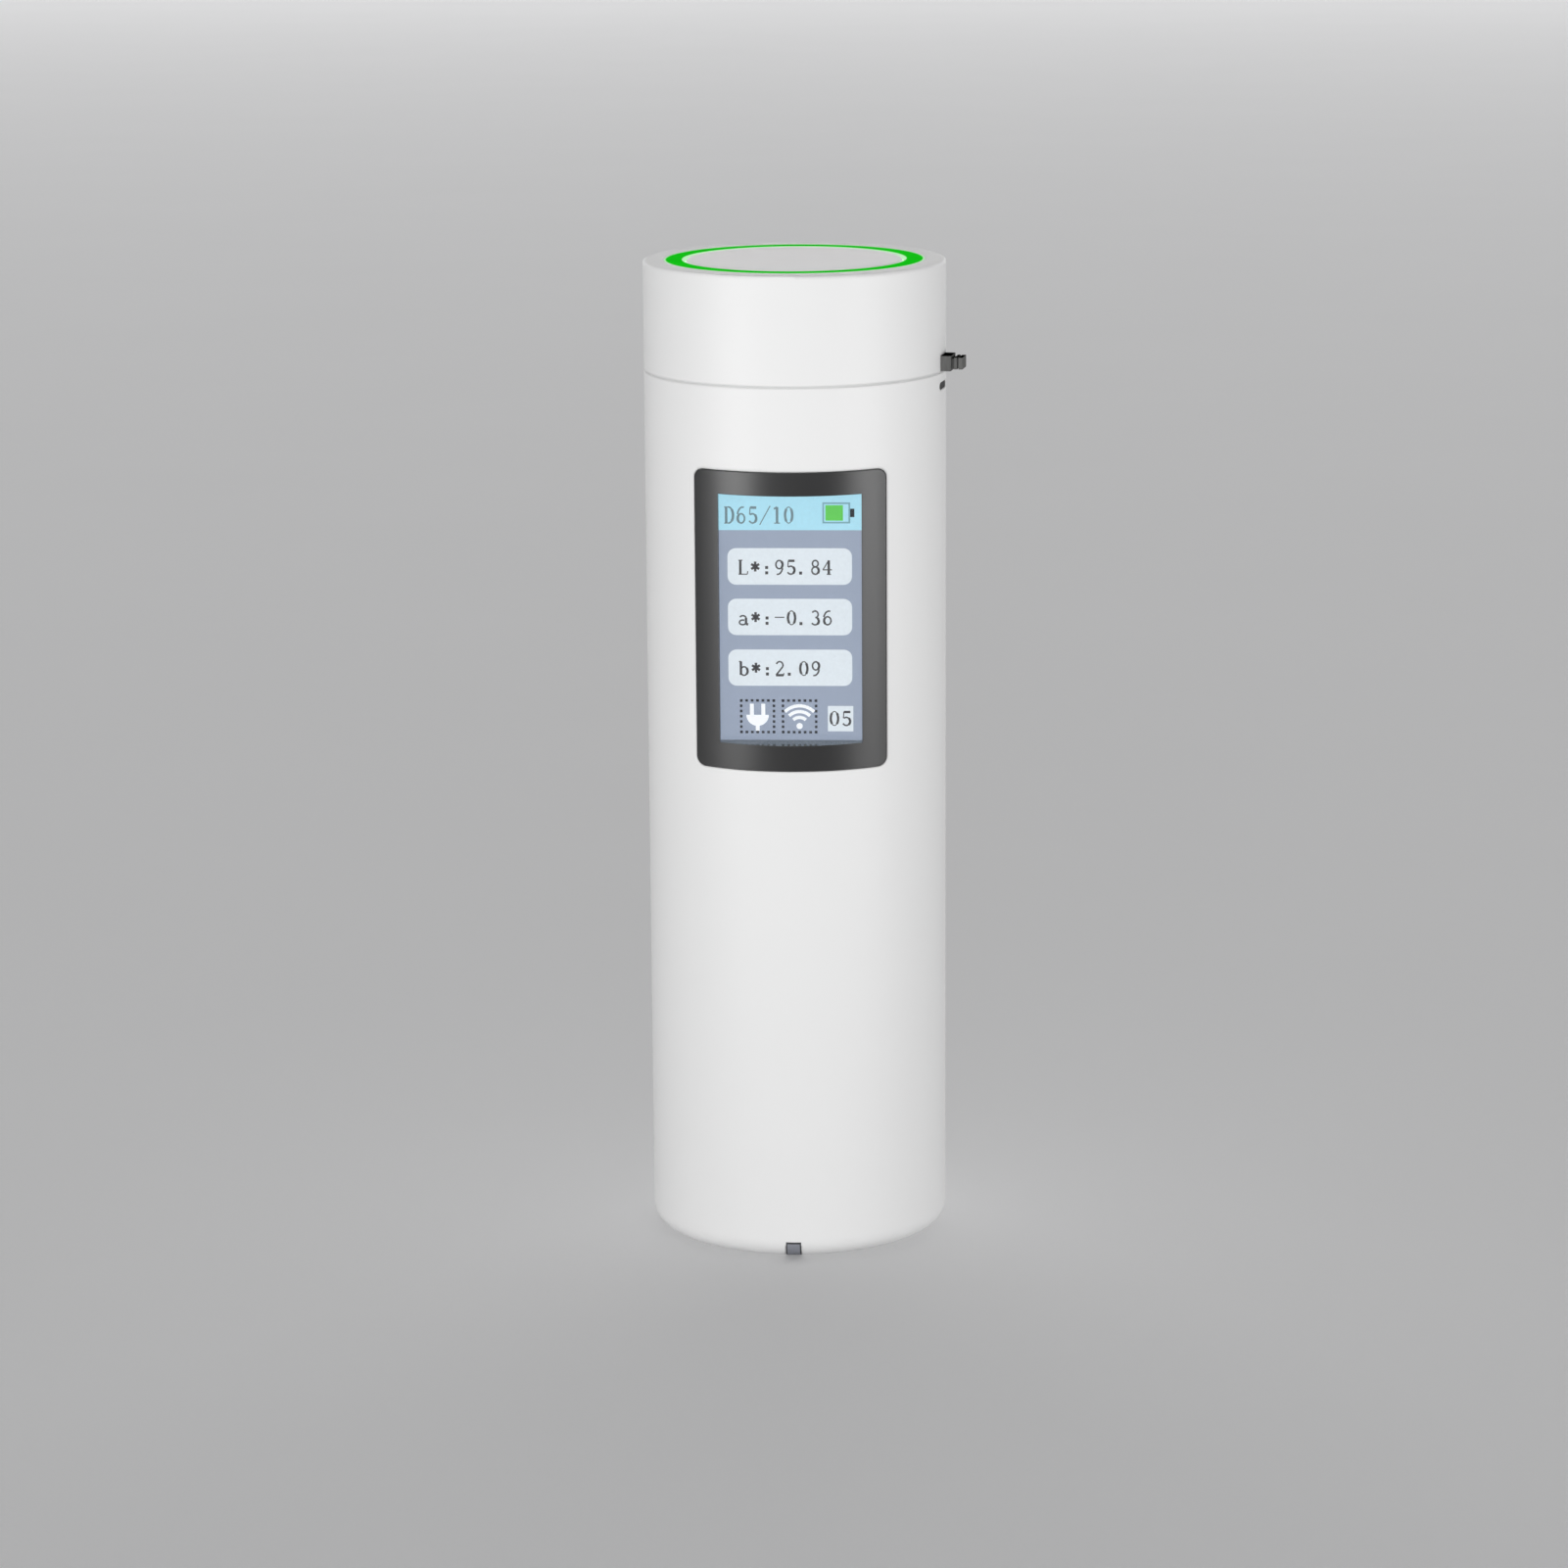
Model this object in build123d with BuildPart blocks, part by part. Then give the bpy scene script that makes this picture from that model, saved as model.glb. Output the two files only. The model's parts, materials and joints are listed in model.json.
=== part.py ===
# A hand-held colour reader: a slim upright cylinder that stands on the sample it measures.
# Sizes in millimetres. +Z is up, the origin is the centre of the base, the display faces -Y
# and the lanyard stud is on the +X side. Angles on the case count from the front towards +X.

import os
from math import asin, cos, degrees, radians, sin, sqrt, tan

from build123d import *

# Case
body_diameter = 31.0
total_height = 102.0
shell_wall = 1.5
head_height = 11.1
seam_gap = 0.1
base_round = 2.0
top_edge_round = 0.3

# Fits
slip = 0.05
panel_gap = 0.1
button_gap = 0.2

# Head
spigot_length = 4.0
spigot_wall = 1.0
bead_height = 0.25
bead_from_end = 1.6
rim_width = 2.2
ring_width = 1.9
ring_depth = 5.5
boss_radius = 1.6
boss_inset = 4.5
boss_length = 2.6
head_frame_thickness = 1.2
board_thickness = 1.0

# Measure button and the switch under it
button_travel = 0.6
button_plate = 1.8
button_edge = 0.3
post_radius = 2.5
leg_inset = 6.9
leg_width = 2.4
leg_thickness = 1.0
hook_reach = 0.6
hook_height = 0.8
switch_size = 6.0
switch_height = 3.2
plunger_radius = 1.7
plunger_stroke_depth = 1.6
plunger_above = 1.6
running_fit = 0.08
boot_wall = 0.5
boot_gap = 1.5
boot_taper = 2.0

# Light ring lamps
ring_led_count = 12
ring_led_depth = 1.2
ring_led_width = 2.0
ring_led_height = 0.7
ring_led_inset = 3.4

# Lanyard stud and slot
stud_angle = 81.0
stud_width = 2.9
stud_height = 1.55
stud_reach = 0.95
stud_head_reach = 2.1
stud_head_width = 2.4
stud_head_height = 1.2
stud_groove = 0.3
stud_wing = 0.7
lanyard_slot_angle = 80.0
lanyard_slot_width = 3.2
lanyard_slot_height = 0.8
lanyard_slot_below_seam = 1.4

# Display
bezel_width = 19.25
bezel_height = 30.5
bezel_share = 0.5705
bezel_corner = 0.9
bezel_flange = 0.9
bezel_proud = 0.15
bezel_ledge = 0.5
side_border = 2.4
upper_border = 2.35
lower_border = 2.65
lens_inset = 2.85
lens_thickness = 0.55
optical_gap = 0.15
lens_margin = 0.75
panel_side_inset = 1.2
panel_upper_inset = 1.1
panel_lower_inset = 1.3
panel_thickness = 1.45
cushion_thickness = 0.5
cushion_border = 1.6
plug_inset = 4.5
flex_width = 8.0
flex_thickness = 0.15
flex_overlap = 3.0
flex_drop = 5.1
connector_height = 1.2

# Measuring port and integrating sphere
port_diameter = 8.0
port_flare = 0.6
plate_inset = 3.05
plate_thickness = 1.2
plate_boss_r = 6.5
plate_boss_rise = 0.8
lip_inset = 4.3
lip_thickness = 1.2
sphere_inset = 6.5
sphere_wall = 1.3
sphere_flange = 1.5
sphere_foot = 1.2
pad_inset = 0.4
pad_over_sphere = 1.5
viewing_tilt = 8.0
viewing_bore_r = 1.75
light_bore_r = 1.5
light_inset = 2.5
light_count = 4
baffle_from_light = 2.2
baffle_width = 3.0
baffle_thickness = 0.8
baffle_drop = 2.6
light_side = 1.8
light_height = 0.8

# Sensor barrel
tube_outer_r = 3.0
tube_head_r = 3.8
tube_head_from = 29.0
lens_seat_at = 25.0
lens_seat_depth = 4.0
lens_seat_r = 2.3
sensor_at = 33.0
sensor_well_r = 2.8
focus_lens_thickness = 1.8
focus_lens_curve_r = 3.2
sensor_board_side = 11.0
sensor_chip_side = 3.6

# Chassis
rail_wall = 1.4
rail_gap = 0.2
rail_first = 58.0
rail_last = 111.0
chassis_ring_inset = 4.6
chassis_ring_height = 2.0
chassis_below_seam = 4.7
front_plate_thickness = 1.0
front_plate_below_flex = 5.0
shelf_share = 0.3616
shelf_thickness = 1.2
shelf_length = 9.6
shelf_back_inset = 2.9
floor_share = 0.4509
floor_thickness = 1.4
cradle_shares = (0.22, 0.73)
cradle_thickness = 2.0
cradle_mouth = 12.0
cradle_gap = 0.15
plate_window_width = 12.0
plate_window_height = 18.0
flex_slot_width = 10.0
flex_slot_height = 5.0
rib_count = 6
rib_thickness = 1.2

# Control board
main_board_inset = 5.8
main_board_end_gap = 0.4
main_board_above_floor = 1.3
standoff_height = 1.8
standoff_radius = 1.6
standoff_inset = 2.1
standoff_end = 3.8
module_width = 12.0
module_height = 14.0
module_below_top = 7.6
module_board_thickness = 0.8
can_thickness = 1.2
chip_height = 0.9
processor_side = 7.0
memory_side = 4.0
charger_width = 2.5
charger_height = 3.2
driver_width = 6.0
driver_height = 5.0
crystal_side = 3.0

# Battery
battery_diameter = 14.0
battery_gap = 0.5
battery_cap_r = 2.75
battery_cap_height = 1.0
tab_width = 4.0
tab_thickness = 0.2

# Charging socket
usb_width = 8.94
usb_height = 3.26
usb_length = 7.35
usb_shell = 0.3
usb_mouth_inset = 1.1
usb_tongue_width = 6.7
usb_tongue_thickness = 0.7
usb_tongue_length = 5.2
usb_back_wall = 1.2
usb_board_width = 12.0
usb_board_length = 8.6
usb_board_back_inset = 3.3
usb_screw_x = 3.8
usb_screw_from_front = 1.7

# Index mark
mark_width = 1.5
mark_height = 1.4
mark_depth = 1.6

# Small screws
screw_r = 0.8
screw_head_r = 1.5
screw_head_height = 0.9
screw_recess_r = 0.55

# Worked-out sizes
body_r = body_diameter / 2
bore_r = body_r - shell_wall
head_low = total_height - head_height
seam_height = head_low - seam_gap
spigot_r = bore_r - panel_gap
head_bore_r = spigot_r - spigot_wall
spigot_low = head_low - spigot_length
groove_middle = spigot_low + bead_from_end
ring_outer_r = body_r - rim_width
ring_inner_r = ring_outer_r - ring_width
ring_low = total_height - ring_depth
boss_circle_r = body_r - boss_inset
leg_circle_r = body_r - leg_inset
ring_led_circle_r = body_r - ring_led_inset
boot_base_r = leg_circle_r - leg_thickness / 2 - boot_gap
boot_top_r = boot_base_r - boot_taper
boss_low = ring_low - panel_gap - boss_length
switch_board_low = boss_low - board_thickness
head_frame_low = switch_board_low - head_frame_thickness
inner_disc_r = head_bore_r - panel_gap
button_r = ring_inner_r - button_gap
button_under = total_height - button_plate
switch_top = boss_low + switch_height
plunger_top = switch_top + plunger_above
plate_radius = body_r - plate_inset
lip_radius = body_r - lip_inset
lip_low = plate_thickness
lip_top = lip_low + lip_thickness
plate_top = plate_thickness + plate_boss_rise
port_r = port_diameter / 2
port_top_r = port_r + port_flare
sphere_r = body_r - sphere_inset
dome_r = sphere_r + sphere_wall
pad_radius = sphere_r - pad_inset
light_circle_r = sphere_r - light_inset
baffle_circle_r = light_circle_r - baffle_from_light
equator = plate_top + sqrt(sphere_r**2 - port_top_r**2)
flange_r = bore_r - 3 * panel_gap
foot_top = lip_top + sphere_foot
pad_top = equator + sphere_r + pad_over_sphere
rail_outer_r = bore_r - rail_gap
rail_inner_r = rail_outer_r - rail_wall
rail_middle_r = rail_outer_r - rail_wall / 2
chassis_ring_inner_r = body_r - chassis_ring_inset
chassis_low = equator + sphere_flange
chassis_top = seam_height - chassis_below_seam
rail_low = chassis_low + chassis_ring_height
flange_screw_circle_r = chassis_ring_inner_r + screw_head_r - screw_head_height * 0.2
port_screw_circle_r = (plate_boss_r + lip_radius) / 2
bezel_low = seam_height * bezel_share
view_width = bezel_width - 2 * side_border
view_height = bezel_height - upper_border - lower_border
view_low = bezel_low + lower_border
panel_width = bezel_width - 2 * panel_side_inset
panel_height = bezel_height - panel_upper_inset - panel_lower_inset
panel_low = bezel_low + panel_lower_inset
lens_front = body_r - lens_inset
bezel_depth = body_r - plug_inset
lens_back = lens_front - lens_thickness
panel_front = lens_back - optical_gap
panel_back = panel_front - panel_thickness
plate_front_y = panel_back - cushion_thickness
plate_back_y = plate_front_y - front_plate_thickness
plate_half_width = sqrt(rail_outer_r**2 - plate_front_y**2)
plate_edge_angle = degrees(asin(plate_half_width / rail_outer_r))
main_board_front = plate_back_y - standoff_height
main_board_back = main_board_front - board_thickness
floor_low = seam_height * floor_share
floor_top = floor_low + floor_thickness
flex_slot_middle = panel_low - flex_drop
front_plate_low = flex_slot_middle - front_plate_below_flex
battery_r = battery_diameter / 2
battery_low = floor_top + tab_thickness
battery_length = chassis_top - battery_gap - battery_low
battery_back = battery_r + battery_gap + module_board_thickness + can_thickness - main_board_back
main_board_width = body_diameter - 2 * main_board_inset
main_board_low = floor_top + main_board_above_floor
main_board_height = chassis_top - main_board_end_gap - main_board_low
standoff_x = main_board_width / 2 - standoff_inset
standoff_rows = (main_board_low + standoff_end, main_board_low + main_board_height - standoff_end)
module_low = main_board_low + main_board_height - module_below_top - module_height
processor_middle = (main_board_low + module_low) / 2
shelf_low = seam_height * shelf_share
shelf_back = body_r - shelf_back_inset
shelf_front = shelf_back - shelf_length
usb_board_low = shelf_low + shelf_thickness
usb_board_back = body_r - usb_board_back_inset
usb_board_front = usb_board_back - usb_board_length
usb_screw_y = usb_board_front + usb_screw_from_front
usb_mouth = body_r - usb_mouth_inset
usb_low = usb_board_low + board_thickness
view_middle = view_low + view_height / 2
bezel_middle = bezel_low + bezel_height / 2
panel_middle = panel_low + panel_height / 2
stud_middle = head_low + slip + stud_height / 2
leg_slot_circle_r = leg_circle_r - hook_reach / 2
leg_slot_depth = leg_thickness + hook_reach + 2 * button_gap
main_board_middle = main_board_low + main_board_height / 2
module_middle = module_low + module_height / 2
# Long enough to pass right through the case.
far = body_diameter


def facing(angle, height=0.0):
    """Upright plane through the axis that faces outwards at an angle from the front."""
    turn = radians(angle)
    return Plane(origin=(0, 0, height), x_dir=(cos(turn), sin(turn), 0), z_dir=(sin(turn), -cos(turn), 0))


def level(height):
    """Level plane at a height above the base."""
    return Plane.XY.offset(height)


def viewing(distance):
    """Plane square to the tilted viewing axis, at a distance from the middle of the sample."""
    tilt = radians(viewing_tilt)
    return Plane(origin=(0, 0, 0), x_dir=(1, 0, 0), z_dir=(0, -sin(tilt), cos(tilt))).offset(distance)


def band(inner_r, outer_r, first, last):
    """Flat band between two radii and two angles, with its mirror image on the other side."""
    with BuildSketch() as shape:
        for start in (first, -last):
            with BuildLine():
                outer = CenterArc((0, 0), outer_r, start - 90, last - first)
                inner = CenterArc((0, 0), inner_r, start - 90, last - first)
                Line(outer @ 0, inner @ 0)
                Line(outer @ 1, inner @ 1)
            make_face()
    return shape.sketch


def front_panel(width, height, corner, inner_r, outer_r):
    """Curved panel wrapped round the front of the case, with a rounded outline seen from the front."""
    with BuildPart() as panel:
        with BuildSketch(level(bezel_middle - height / 2)):
            Circle(outer_r)
            Circle(inner_r, mode=Mode.SUBTRACT)
        extrude(amount=height)
        with BuildSketch(facing(0, bezel_middle)):
            RectangleRounded(width, height, corner)
        extrude(amount=far, mode=Mode.INTERSECT)
    return panel.part


def pan_screw(shank_length):
    """Small screw with its head's underside at the origin and its shank pointing down."""
    with BuildPart() as body:
        with BuildSketch(Plane.XZ):
            with BuildLine():
                Polyline(
                    (0, screw_head_height),
                    (screw_head_r * 0.8, screw_head_height),
                    (screw_head_r, screw_head_height * 0.5),
                    (screw_head_r, 0),
                    (screw_r, 0),
                    (screw_r, -shank_length),
                    (0, -shank_length),
                    close=True,
                )
            make_face()
        revolve(axis=Axis.Z)
        with BuildSketch(level(screw_head_height)):
            RegularPolygon(screw_recess_r, 6)
        extrude(amount=-screw_head_height * 0.6, mode=Mode.SUBTRACT)
    return body.part


def flat_screw(length):
    """Small countersunk screw with its flat face at the origin and its shank pointing down."""
    cone = screw_head_r - screw_r
    with BuildPart() as body:
        with BuildSketch(Plane.XZ):
            with BuildLine():
                Polyline((0, 0), (screw_head_r, 0), (screw_r, -cone), (screw_r, -length), (0, -length), close=True)
            make_face()
        revolve(axis=Axis.Z)
        with BuildSketch(level(0)):
            RegularPolygon(screw_recess_r, 6)
        extrude(amount=-cone, mode=Mode.SUBTRACT)
    return body.part


# Case

bezel_bed = front_panel(
    bezel_width + 2 * slip, bezel_height + 2 * slip, bezel_corner + slip, body_r - bezel_flange, body_r + 1
)

with BuildPart() as body_shell:
    with BuildSketch(Plane.XZ):
        with BuildLine():
            Polyline(
                (body_r, 0),
                (body_r, seam_height),
                (bore_r, seam_height),
                (bore_r, lip_top),
                (lip_radius, lip_top),
                (lip_radius, lip_low),
                (plate_radius + slip, lip_low),
                (plate_radius + slip, 0),
                close=True,
            )
        make_face()
    revolve(axis=Axis.Z)
    bottom_edge = body_shell.edges().filter_by(GeomType.CIRCLE).group_by(Axis.Z)[0].sort_by(SortBy.RADIUS)[-1]
    fillet(bottom_edge, base_round)
    # Groove for the head's snap bead.
    with BuildSketch(level(groove_middle)):
        Circle(bore_r + bead_height)
        Circle(bore_r - slip, mode=Mode.SUBTRACT)
    extrude(amount=bead_height, both=True, mode=Mode.SUBTRACT)
    # The display opening goes straight through, and the frame's flange lies in a shallow bed round it.
    with BuildSketch(facing(0, bezel_middle)):
        RectangleRounded(bezel_width - 2 * bezel_ledge, bezel_height - 2 * bezel_ledge, bezel_corner)
    extrude(amount=far, mode=Mode.SUBTRACT)
    add(bezel_bed, mode=Mode.SUBTRACT)
    with BuildSketch(facing(180, usb_low + usb_height / 2)):
        SlotOverall(usb_width + 4 * panel_gap, usb_height + 4 * panel_gap)
    extrude(amount=far, mode=Mode.SUBTRACT)
    with BuildSketch(facing(lanyard_slot_angle, seam_height - lanyard_slot_below_seam)):
        SlotOverall(lanyard_slot_width, lanyard_slot_height)
    extrude(amount=far, mode=Mode.SUBTRACT)
    with Locations(facing(0).offset(body_r - mark_depth - slip)):
        Box(
            mark_width + 2 * slip,
            2 * (mark_height + slip),
            far,
            align=(Align.CENTER, Align.CENTER, Align.MIN),
            mode=Mode.SUBTRACT,
        )
body_shell.part.label = "body_shell"

with BuildPart() as index_mark:
    with BuildSketch(Plane.XZ):
        with Locations((body_r, 0)):
            Rectangle(mark_depth + base_round, 2 * base_round, align=(Align.MAX, Align.MIN))
    revolve(axis=Axis.Z)
    mark_edge = index_mark.edges().filter_by(GeomType.CIRCLE).group_by(Axis.Z)[0].sort_by(SortBy.RADIUS)[-1]
    fillet(mark_edge, base_round)
    with Locations(facing(0).offset(body_r - mark_depth)):
        Box(
            mark_width,
            2 * mark_height,
            far,
            align=(Align.CENTER, Align.CENTER, Align.MIN),
            mode=Mode.INTERSECT,
        )
index_mark.part.label = "index_mark"

with BuildPart() as head_shell:
    with BuildSketch(Plane.XZ):
        with BuildLine():
            Polyline(
                (spigot_r, spigot_low),
                (spigot_r, groove_middle - bead_height),
                (spigot_r + bead_height, groove_middle),
                (spigot_r, groove_middle + bead_height),
                (spigot_r, head_low),
                (body_r, head_low),
                (body_r, total_height),
                (ring_outer_r + slip, total_height),
                (ring_outer_r + slip, ring_low),
                (head_bore_r, ring_low),
                (head_bore_r, spigot_low),
                close=True,
            )
        make_face()
    revolve(axis=Axis.Z)
    rim_edge = head_shell.edges().filter_by(GeomType.CIRCLE).group_by(Axis.Z)[-1].sort_by(SortBy.RADIUS)[-1]
    fillet(rim_edge, top_edge_round)
    # Three screw bosses hang under the ring's ledge.
    with BuildSketch(level(boss_low)):
        with PolarLocations(boss_circle_r, 3, start_angle=90):
            Circle(boss_radius)
            Rectangle(spigot_r - boss_circle_r, 2 * boss_radius, align=(Align.MIN, Align.CENTER))
        with PolarLocations(boss_circle_r, 3, start_angle=90):
            Circle(screw_r + slip, mode=Mode.SUBTRACT)
    extrude(amount=boss_length)
    # The stud's neck passes through the lower edge, and its wings slide up a slot in the spigot.
    with BuildSketch(facing(stud_angle, head_low)):
        Rectangle(stud_width + 2 * slip, 2 * (stud_height + 2 * slip))
    extrude(amount=far, mode=Mode.SUBTRACT)
    with BuildSketch(facing(stud_angle, spigot_low)):
        Rectangle(
            stud_width + 2 * stud_wing + 2 * slip,
            spigot_length + stud_height + 2 * slip,
            align=(Align.CENTER, Align.MIN),
        )
    extrude(amount=spigot_r, mode=Mode.SUBTRACT)
head_shell.part.label = "head_shell"

with BuildPart() as lanyard_stud:
    with BuildSketch(facing(stud_angle, stud_middle)):
        Rectangle(stud_width, stud_height)
    extrude(amount=body_r + stud_reach)
    with BuildSketch(facing(stud_angle, stud_middle)):
        Rectangle(stud_width + 2 * stud_wing, stud_height)
    extrude(amount=spigot_r - panel_gap)
    with BuildSketch(level(stud_middle)):
        Circle(head_bore_r + panel_gap)
    extrude(amount=stud_height, both=True, mode=Mode.SUBTRACT)
    # A groove for the cord's loop, then a narrower ribbed head.
    with BuildSketch(facing(stud_angle, stud_middle).offset(body_r + stud_reach - slip)):
        Rectangle(stud_head_width - 2 * stud_groove, stud_head_height - stud_groove)
    extrude(amount=stud_head_reach - stud_reach)
    with BuildSketch(facing(stud_angle, stud_middle).offset(body_r + stud_reach + stud_groove)):
        Rectangle(stud_head_width, stud_head_height)
    extrude(amount=stud_groove)
    with BuildSketch(facing(stud_angle, stud_middle).offset(body_r + stud_reach + 2.5 * stud_groove)):
        Rectangle(stud_head_width, stud_head_height)
    extrude(amount=stud_head_reach - stud_reach - 2.5 * stud_groove)
lanyard_stud.part.label = "lanyard_stud"

# Head inside

with BuildPart() as light_ring:
    with BuildSketch(Plane.XZ):
        with Locations((ring_inner_r, ring_low)):
            Rectangle(ring_outer_r - ring_inner_r, ring_depth, align=(Align.MIN, Align.MIN))
    revolve(axis=Axis.Z)
light_ring.part.label = "light_ring"

with BuildPart() as head_frame:
    with BuildSketch(level(head_frame_low)):
        Circle(inner_disc_r)
        with PolarLocations(boss_circle_r, 3, start_angle=90):
            Circle(screw_r + slip, mode=Mode.SUBTRACT)
        with PolarLocations(leg_slot_circle_r, 3, start_angle=30):
            Rectangle(leg_slot_depth, leg_width + 2 * button_gap, mode=Mode.SUBTRACT)
        Rectangle(switch_size, leg_width, mode=Mode.SUBTRACT)
    extrude(amount=head_frame_thickness)
head_frame.part.label = "head_frame"

with BuildPart() as switch_board:
    with BuildSketch(level(switch_board_low)):
        Circle(inner_disc_r)
        with PolarLocations(boss_circle_r, 3, start_angle=90):
            Circle(screw_r + slip, mode=Mode.SUBTRACT)
        with PolarLocations(leg_slot_circle_r, 3, start_angle=30):
            Rectangle(leg_slot_depth, leg_width + 2 * button_gap, mode=Mode.SUBTRACT)
    extrude(amount=board_thickness)
switch_board.part.label = "switch_board"

head_screw = pan_screw(head_frame_thickness + board_thickness + boss_length - boss_radius / 2)

with BuildPart() as head_screws:
    with Locations(level(head_frame_low)):
        with PolarLocations(boss_circle_r, 3, start_angle=90):
            add(head_screw, rotation=(180, 0, 0))
head_screws.part.label = "head_screws"

with BuildPart() as ring_leds:
    with Locations(level(boss_low)):
        with PolarLocations(ring_led_circle_r, ring_led_count, start_angle=15):
            Box(ring_led_depth, ring_led_width, ring_led_height, align=(Align.CENTER, Align.CENTER, Align.MIN))
ring_leds.part.label = "ring_leds"

with BuildPart() as tact_switch:
    with BuildSketch(level(boss_low)):
        RectangleRounded(switch_size, switch_size, switch_size / 12)
    extrude(amount=switch_height)
    chamfer(tact_switch.faces().sort_by(Axis.Z)[-1].edges(), switch_height / 10)
    with BuildSketch(level(switch_top)):
        Circle(plunger_radius + running_fit)
    extrude(amount=-plunger_stroke_depth, mode=Mode.SUBTRACT)
tact_switch.part.label = "tact_switch"

with BuildPart() as switch_plunger:
    with BuildSketch(level(plunger_top)):
        Circle(plunger_radius)
    extrude(amount=-(plunger_above + plunger_stroke_depth - button_travel - button_gap))
    fillet(switch_plunger.faces().sort_by(Axis.Z)[-1].edges(), button_gap)
switch_plunger.part.label = "switch_plunger"

with BuildPart() as measure_button:
    with BuildSketch(level(button_under)):
        Circle(button_r)
    extrude(amount=button_plate)
    chamfer(measure_button.faces().sort_by(Axis.Z)[-1].edges(), button_edge)
    with BuildSketch(level(plunger_top + slip)):
        Circle(post_radius)
    extrude(amount=button_under - plunger_top)
    # Three legs hook under the head frame.
    hook_top = head_frame_low - slip
    with BuildSketch(level(hook_top - hook_height)):
        with PolarLocations(leg_circle_r, 3, start_angle=30):
            Rectangle(leg_thickness, leg_width)
    extrude(amount=button_under - hook_top + hook_height + slip)
    with BuildSketch(level(hook_top - hook_height)):
        with PolarLocations(leg_circle_r, 3, start_angle=30):
            Rectangle(leg_thickness / 2 + hook_reach, leg_width, align=(Align.MIN, Align.CENTER))
    extrude(amount=hook_height)
measure_button.part.label = "measure_button"

with BuildPart() as button_boot:
    with BuildSketch(Plane.XZ):
        with BuildLine():
            Polyline(
                (boot_base_r, boss_low),
                (boot_base_r + boot_wall, boss_low),
                (boot_top_r + boot_wall, button_under - slip),
                (boot_top_r, button_under - slip),
                close=True,
            )
        make_face()
    revolve(axis=Axis.Z)
button_boot.part.label = "button_boot"

# Display

with BuildPart() as bezel_plug:
    with BuildSketch(facing(0, bezel_middle).offset(bezel_depth)):
        RectangleRounded(
            bezel_width - 2 * (bezel_ledge + slip), bezel_height - 2 * (bezel_ledge + slip), bezel_corner
        )
    extrude(amount=far)
    with BuildSketch(level(bezel_low)):
        Circle(body_r + bezel_proud)
    extrude(amount=bezel_height, mode=Mode.INTERSECT)

bezel_flange_panel = front_panel(
    bezel_width, bezel_height, bezel_corner, body_r - bezel_flange + slip, body_r + bezel_proud
)

with BuildPart() as display_bezel:
    add(bezel_flange_panel)
    add(bezel_plug.part)
    with BuildSketch(facing(0, view_middle)):
        Rectangle(view_width, view_height)
    extrude(amount=far, mode=Mode.SUBTRACT)
    with BuildSketch(facing(0, view_middle)):
        Rectangle(view_width + 2 * (lens_margin + slip), view_height + 2 * (lens_margin + slip))
    extrude(amount=lens_front, mode=Mode.SUBTRACT)
    with BuildSketch(facing(0, panel_middle)):
        Rectangle(panel_width + 2 * panel_gap, panel_height + 2 * panel_gap)
    extrude(amount=panel_front, mode=Mode.SUBTRACT)
display_bezel.part.label = "display_bezel"

with BuildPart() as display_lens:
    with BuildSketch(facing(0, view_middle).offset(lens_back)):
        Rectangle(view_width + 2 * lens_margin, view_height + 2 * lens_margin)
    extrude(amount=lens_thickness)
display_lens.part.label = "display_lens"

with BuildPart() as display_panel:
    with BuildSketch(facing(0, panel_middle).offset(panel_back)):
        Rectangle(panel_width, panel_height)
    extrude(amount=panel_thickness)
    chamfer(display_panel.edges().filter_by(Axis.Y), slip * 4)
display_panel.part.label = "display_panel"

with BuildPart() as display_cushion:
    with BuildSketch(facing(0, panel_middle).offset(plate_front_y)):
        Rectangle(panel_width - 2 * slip, panel_height - 2 * slip)
        Rectangle(panel_width - 2 * cushion_border, panel_height - 2 * cushion_border, mode=Mode.SUBTRACT)
        with Locations((0, -panel_height / 2)):
            Rectangle(flex_width + 2 * panel_gap, 4 * cushion_border, mode=Mode.SUBTRACT)
    extrude(amount=cushion_thickness)
display_cushion.part.label = "display_cushion"

flex_front = plate_front_y + cushion_thickness / 2

with BuildPart() as display_flex:
    with BuildSketch(Plane.YZ.offset(-flex_width / 2)):
        with BuildLine() as flex_line:
            FilletPolyline(
                (-flex_front, panel_low + flex_overlap),
                (-flex_front, flex_slot_middle),
                (-main_board_front - connector_height - flex_thickness / 2, flex_slot_middle),
                radius=2 * flex_thickness,
            )
        trace(line_width=flex_thickness)
    extrude(amount=flex_width)
display_flex.part.label = "display_flex"

# Measuring port and integrating sphere

underside = Plane(origin=(0, 0, 0), x_dir=(1, 0, 0), z_dir=(0, 0, -1))

with BuildPart() as port_plate:
    with BuildSketch(Plane.XZ):
        with BuildLine():
            Polyline(
                (port_r, 0),
                (plate_radius, 0),
                (plate_radius, plate_thickness),
                (plate_boss_r, plate_thickness),
                (plate_boss_r, plate_top),
                (port_top_r, plate_top),
                close=True,
            )
        make_face()
    revolve(axis=Axis.Z)
    with Locations(underside):
        with PolarLocations(port_screw_circle_r, 3, start_angle=-90):
            CounterSinkHole(screw_r + slip, screw_head_r + slip, counter_sink_angle=90)
port_plate.part.label = "port_plate"

port_screw_length = foot_top - 4 * slip
port_screw = flat_screw(port_screw_length)

with BuildPart() as port_screws:
    with Locations(level(slip)):
        with PolarLocations(port_screw_circle_r, 3, start_angle=90):
            add(port_screw, rotation=(180, 0, 0))
port_screws.part.label = "port_screws"

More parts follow.
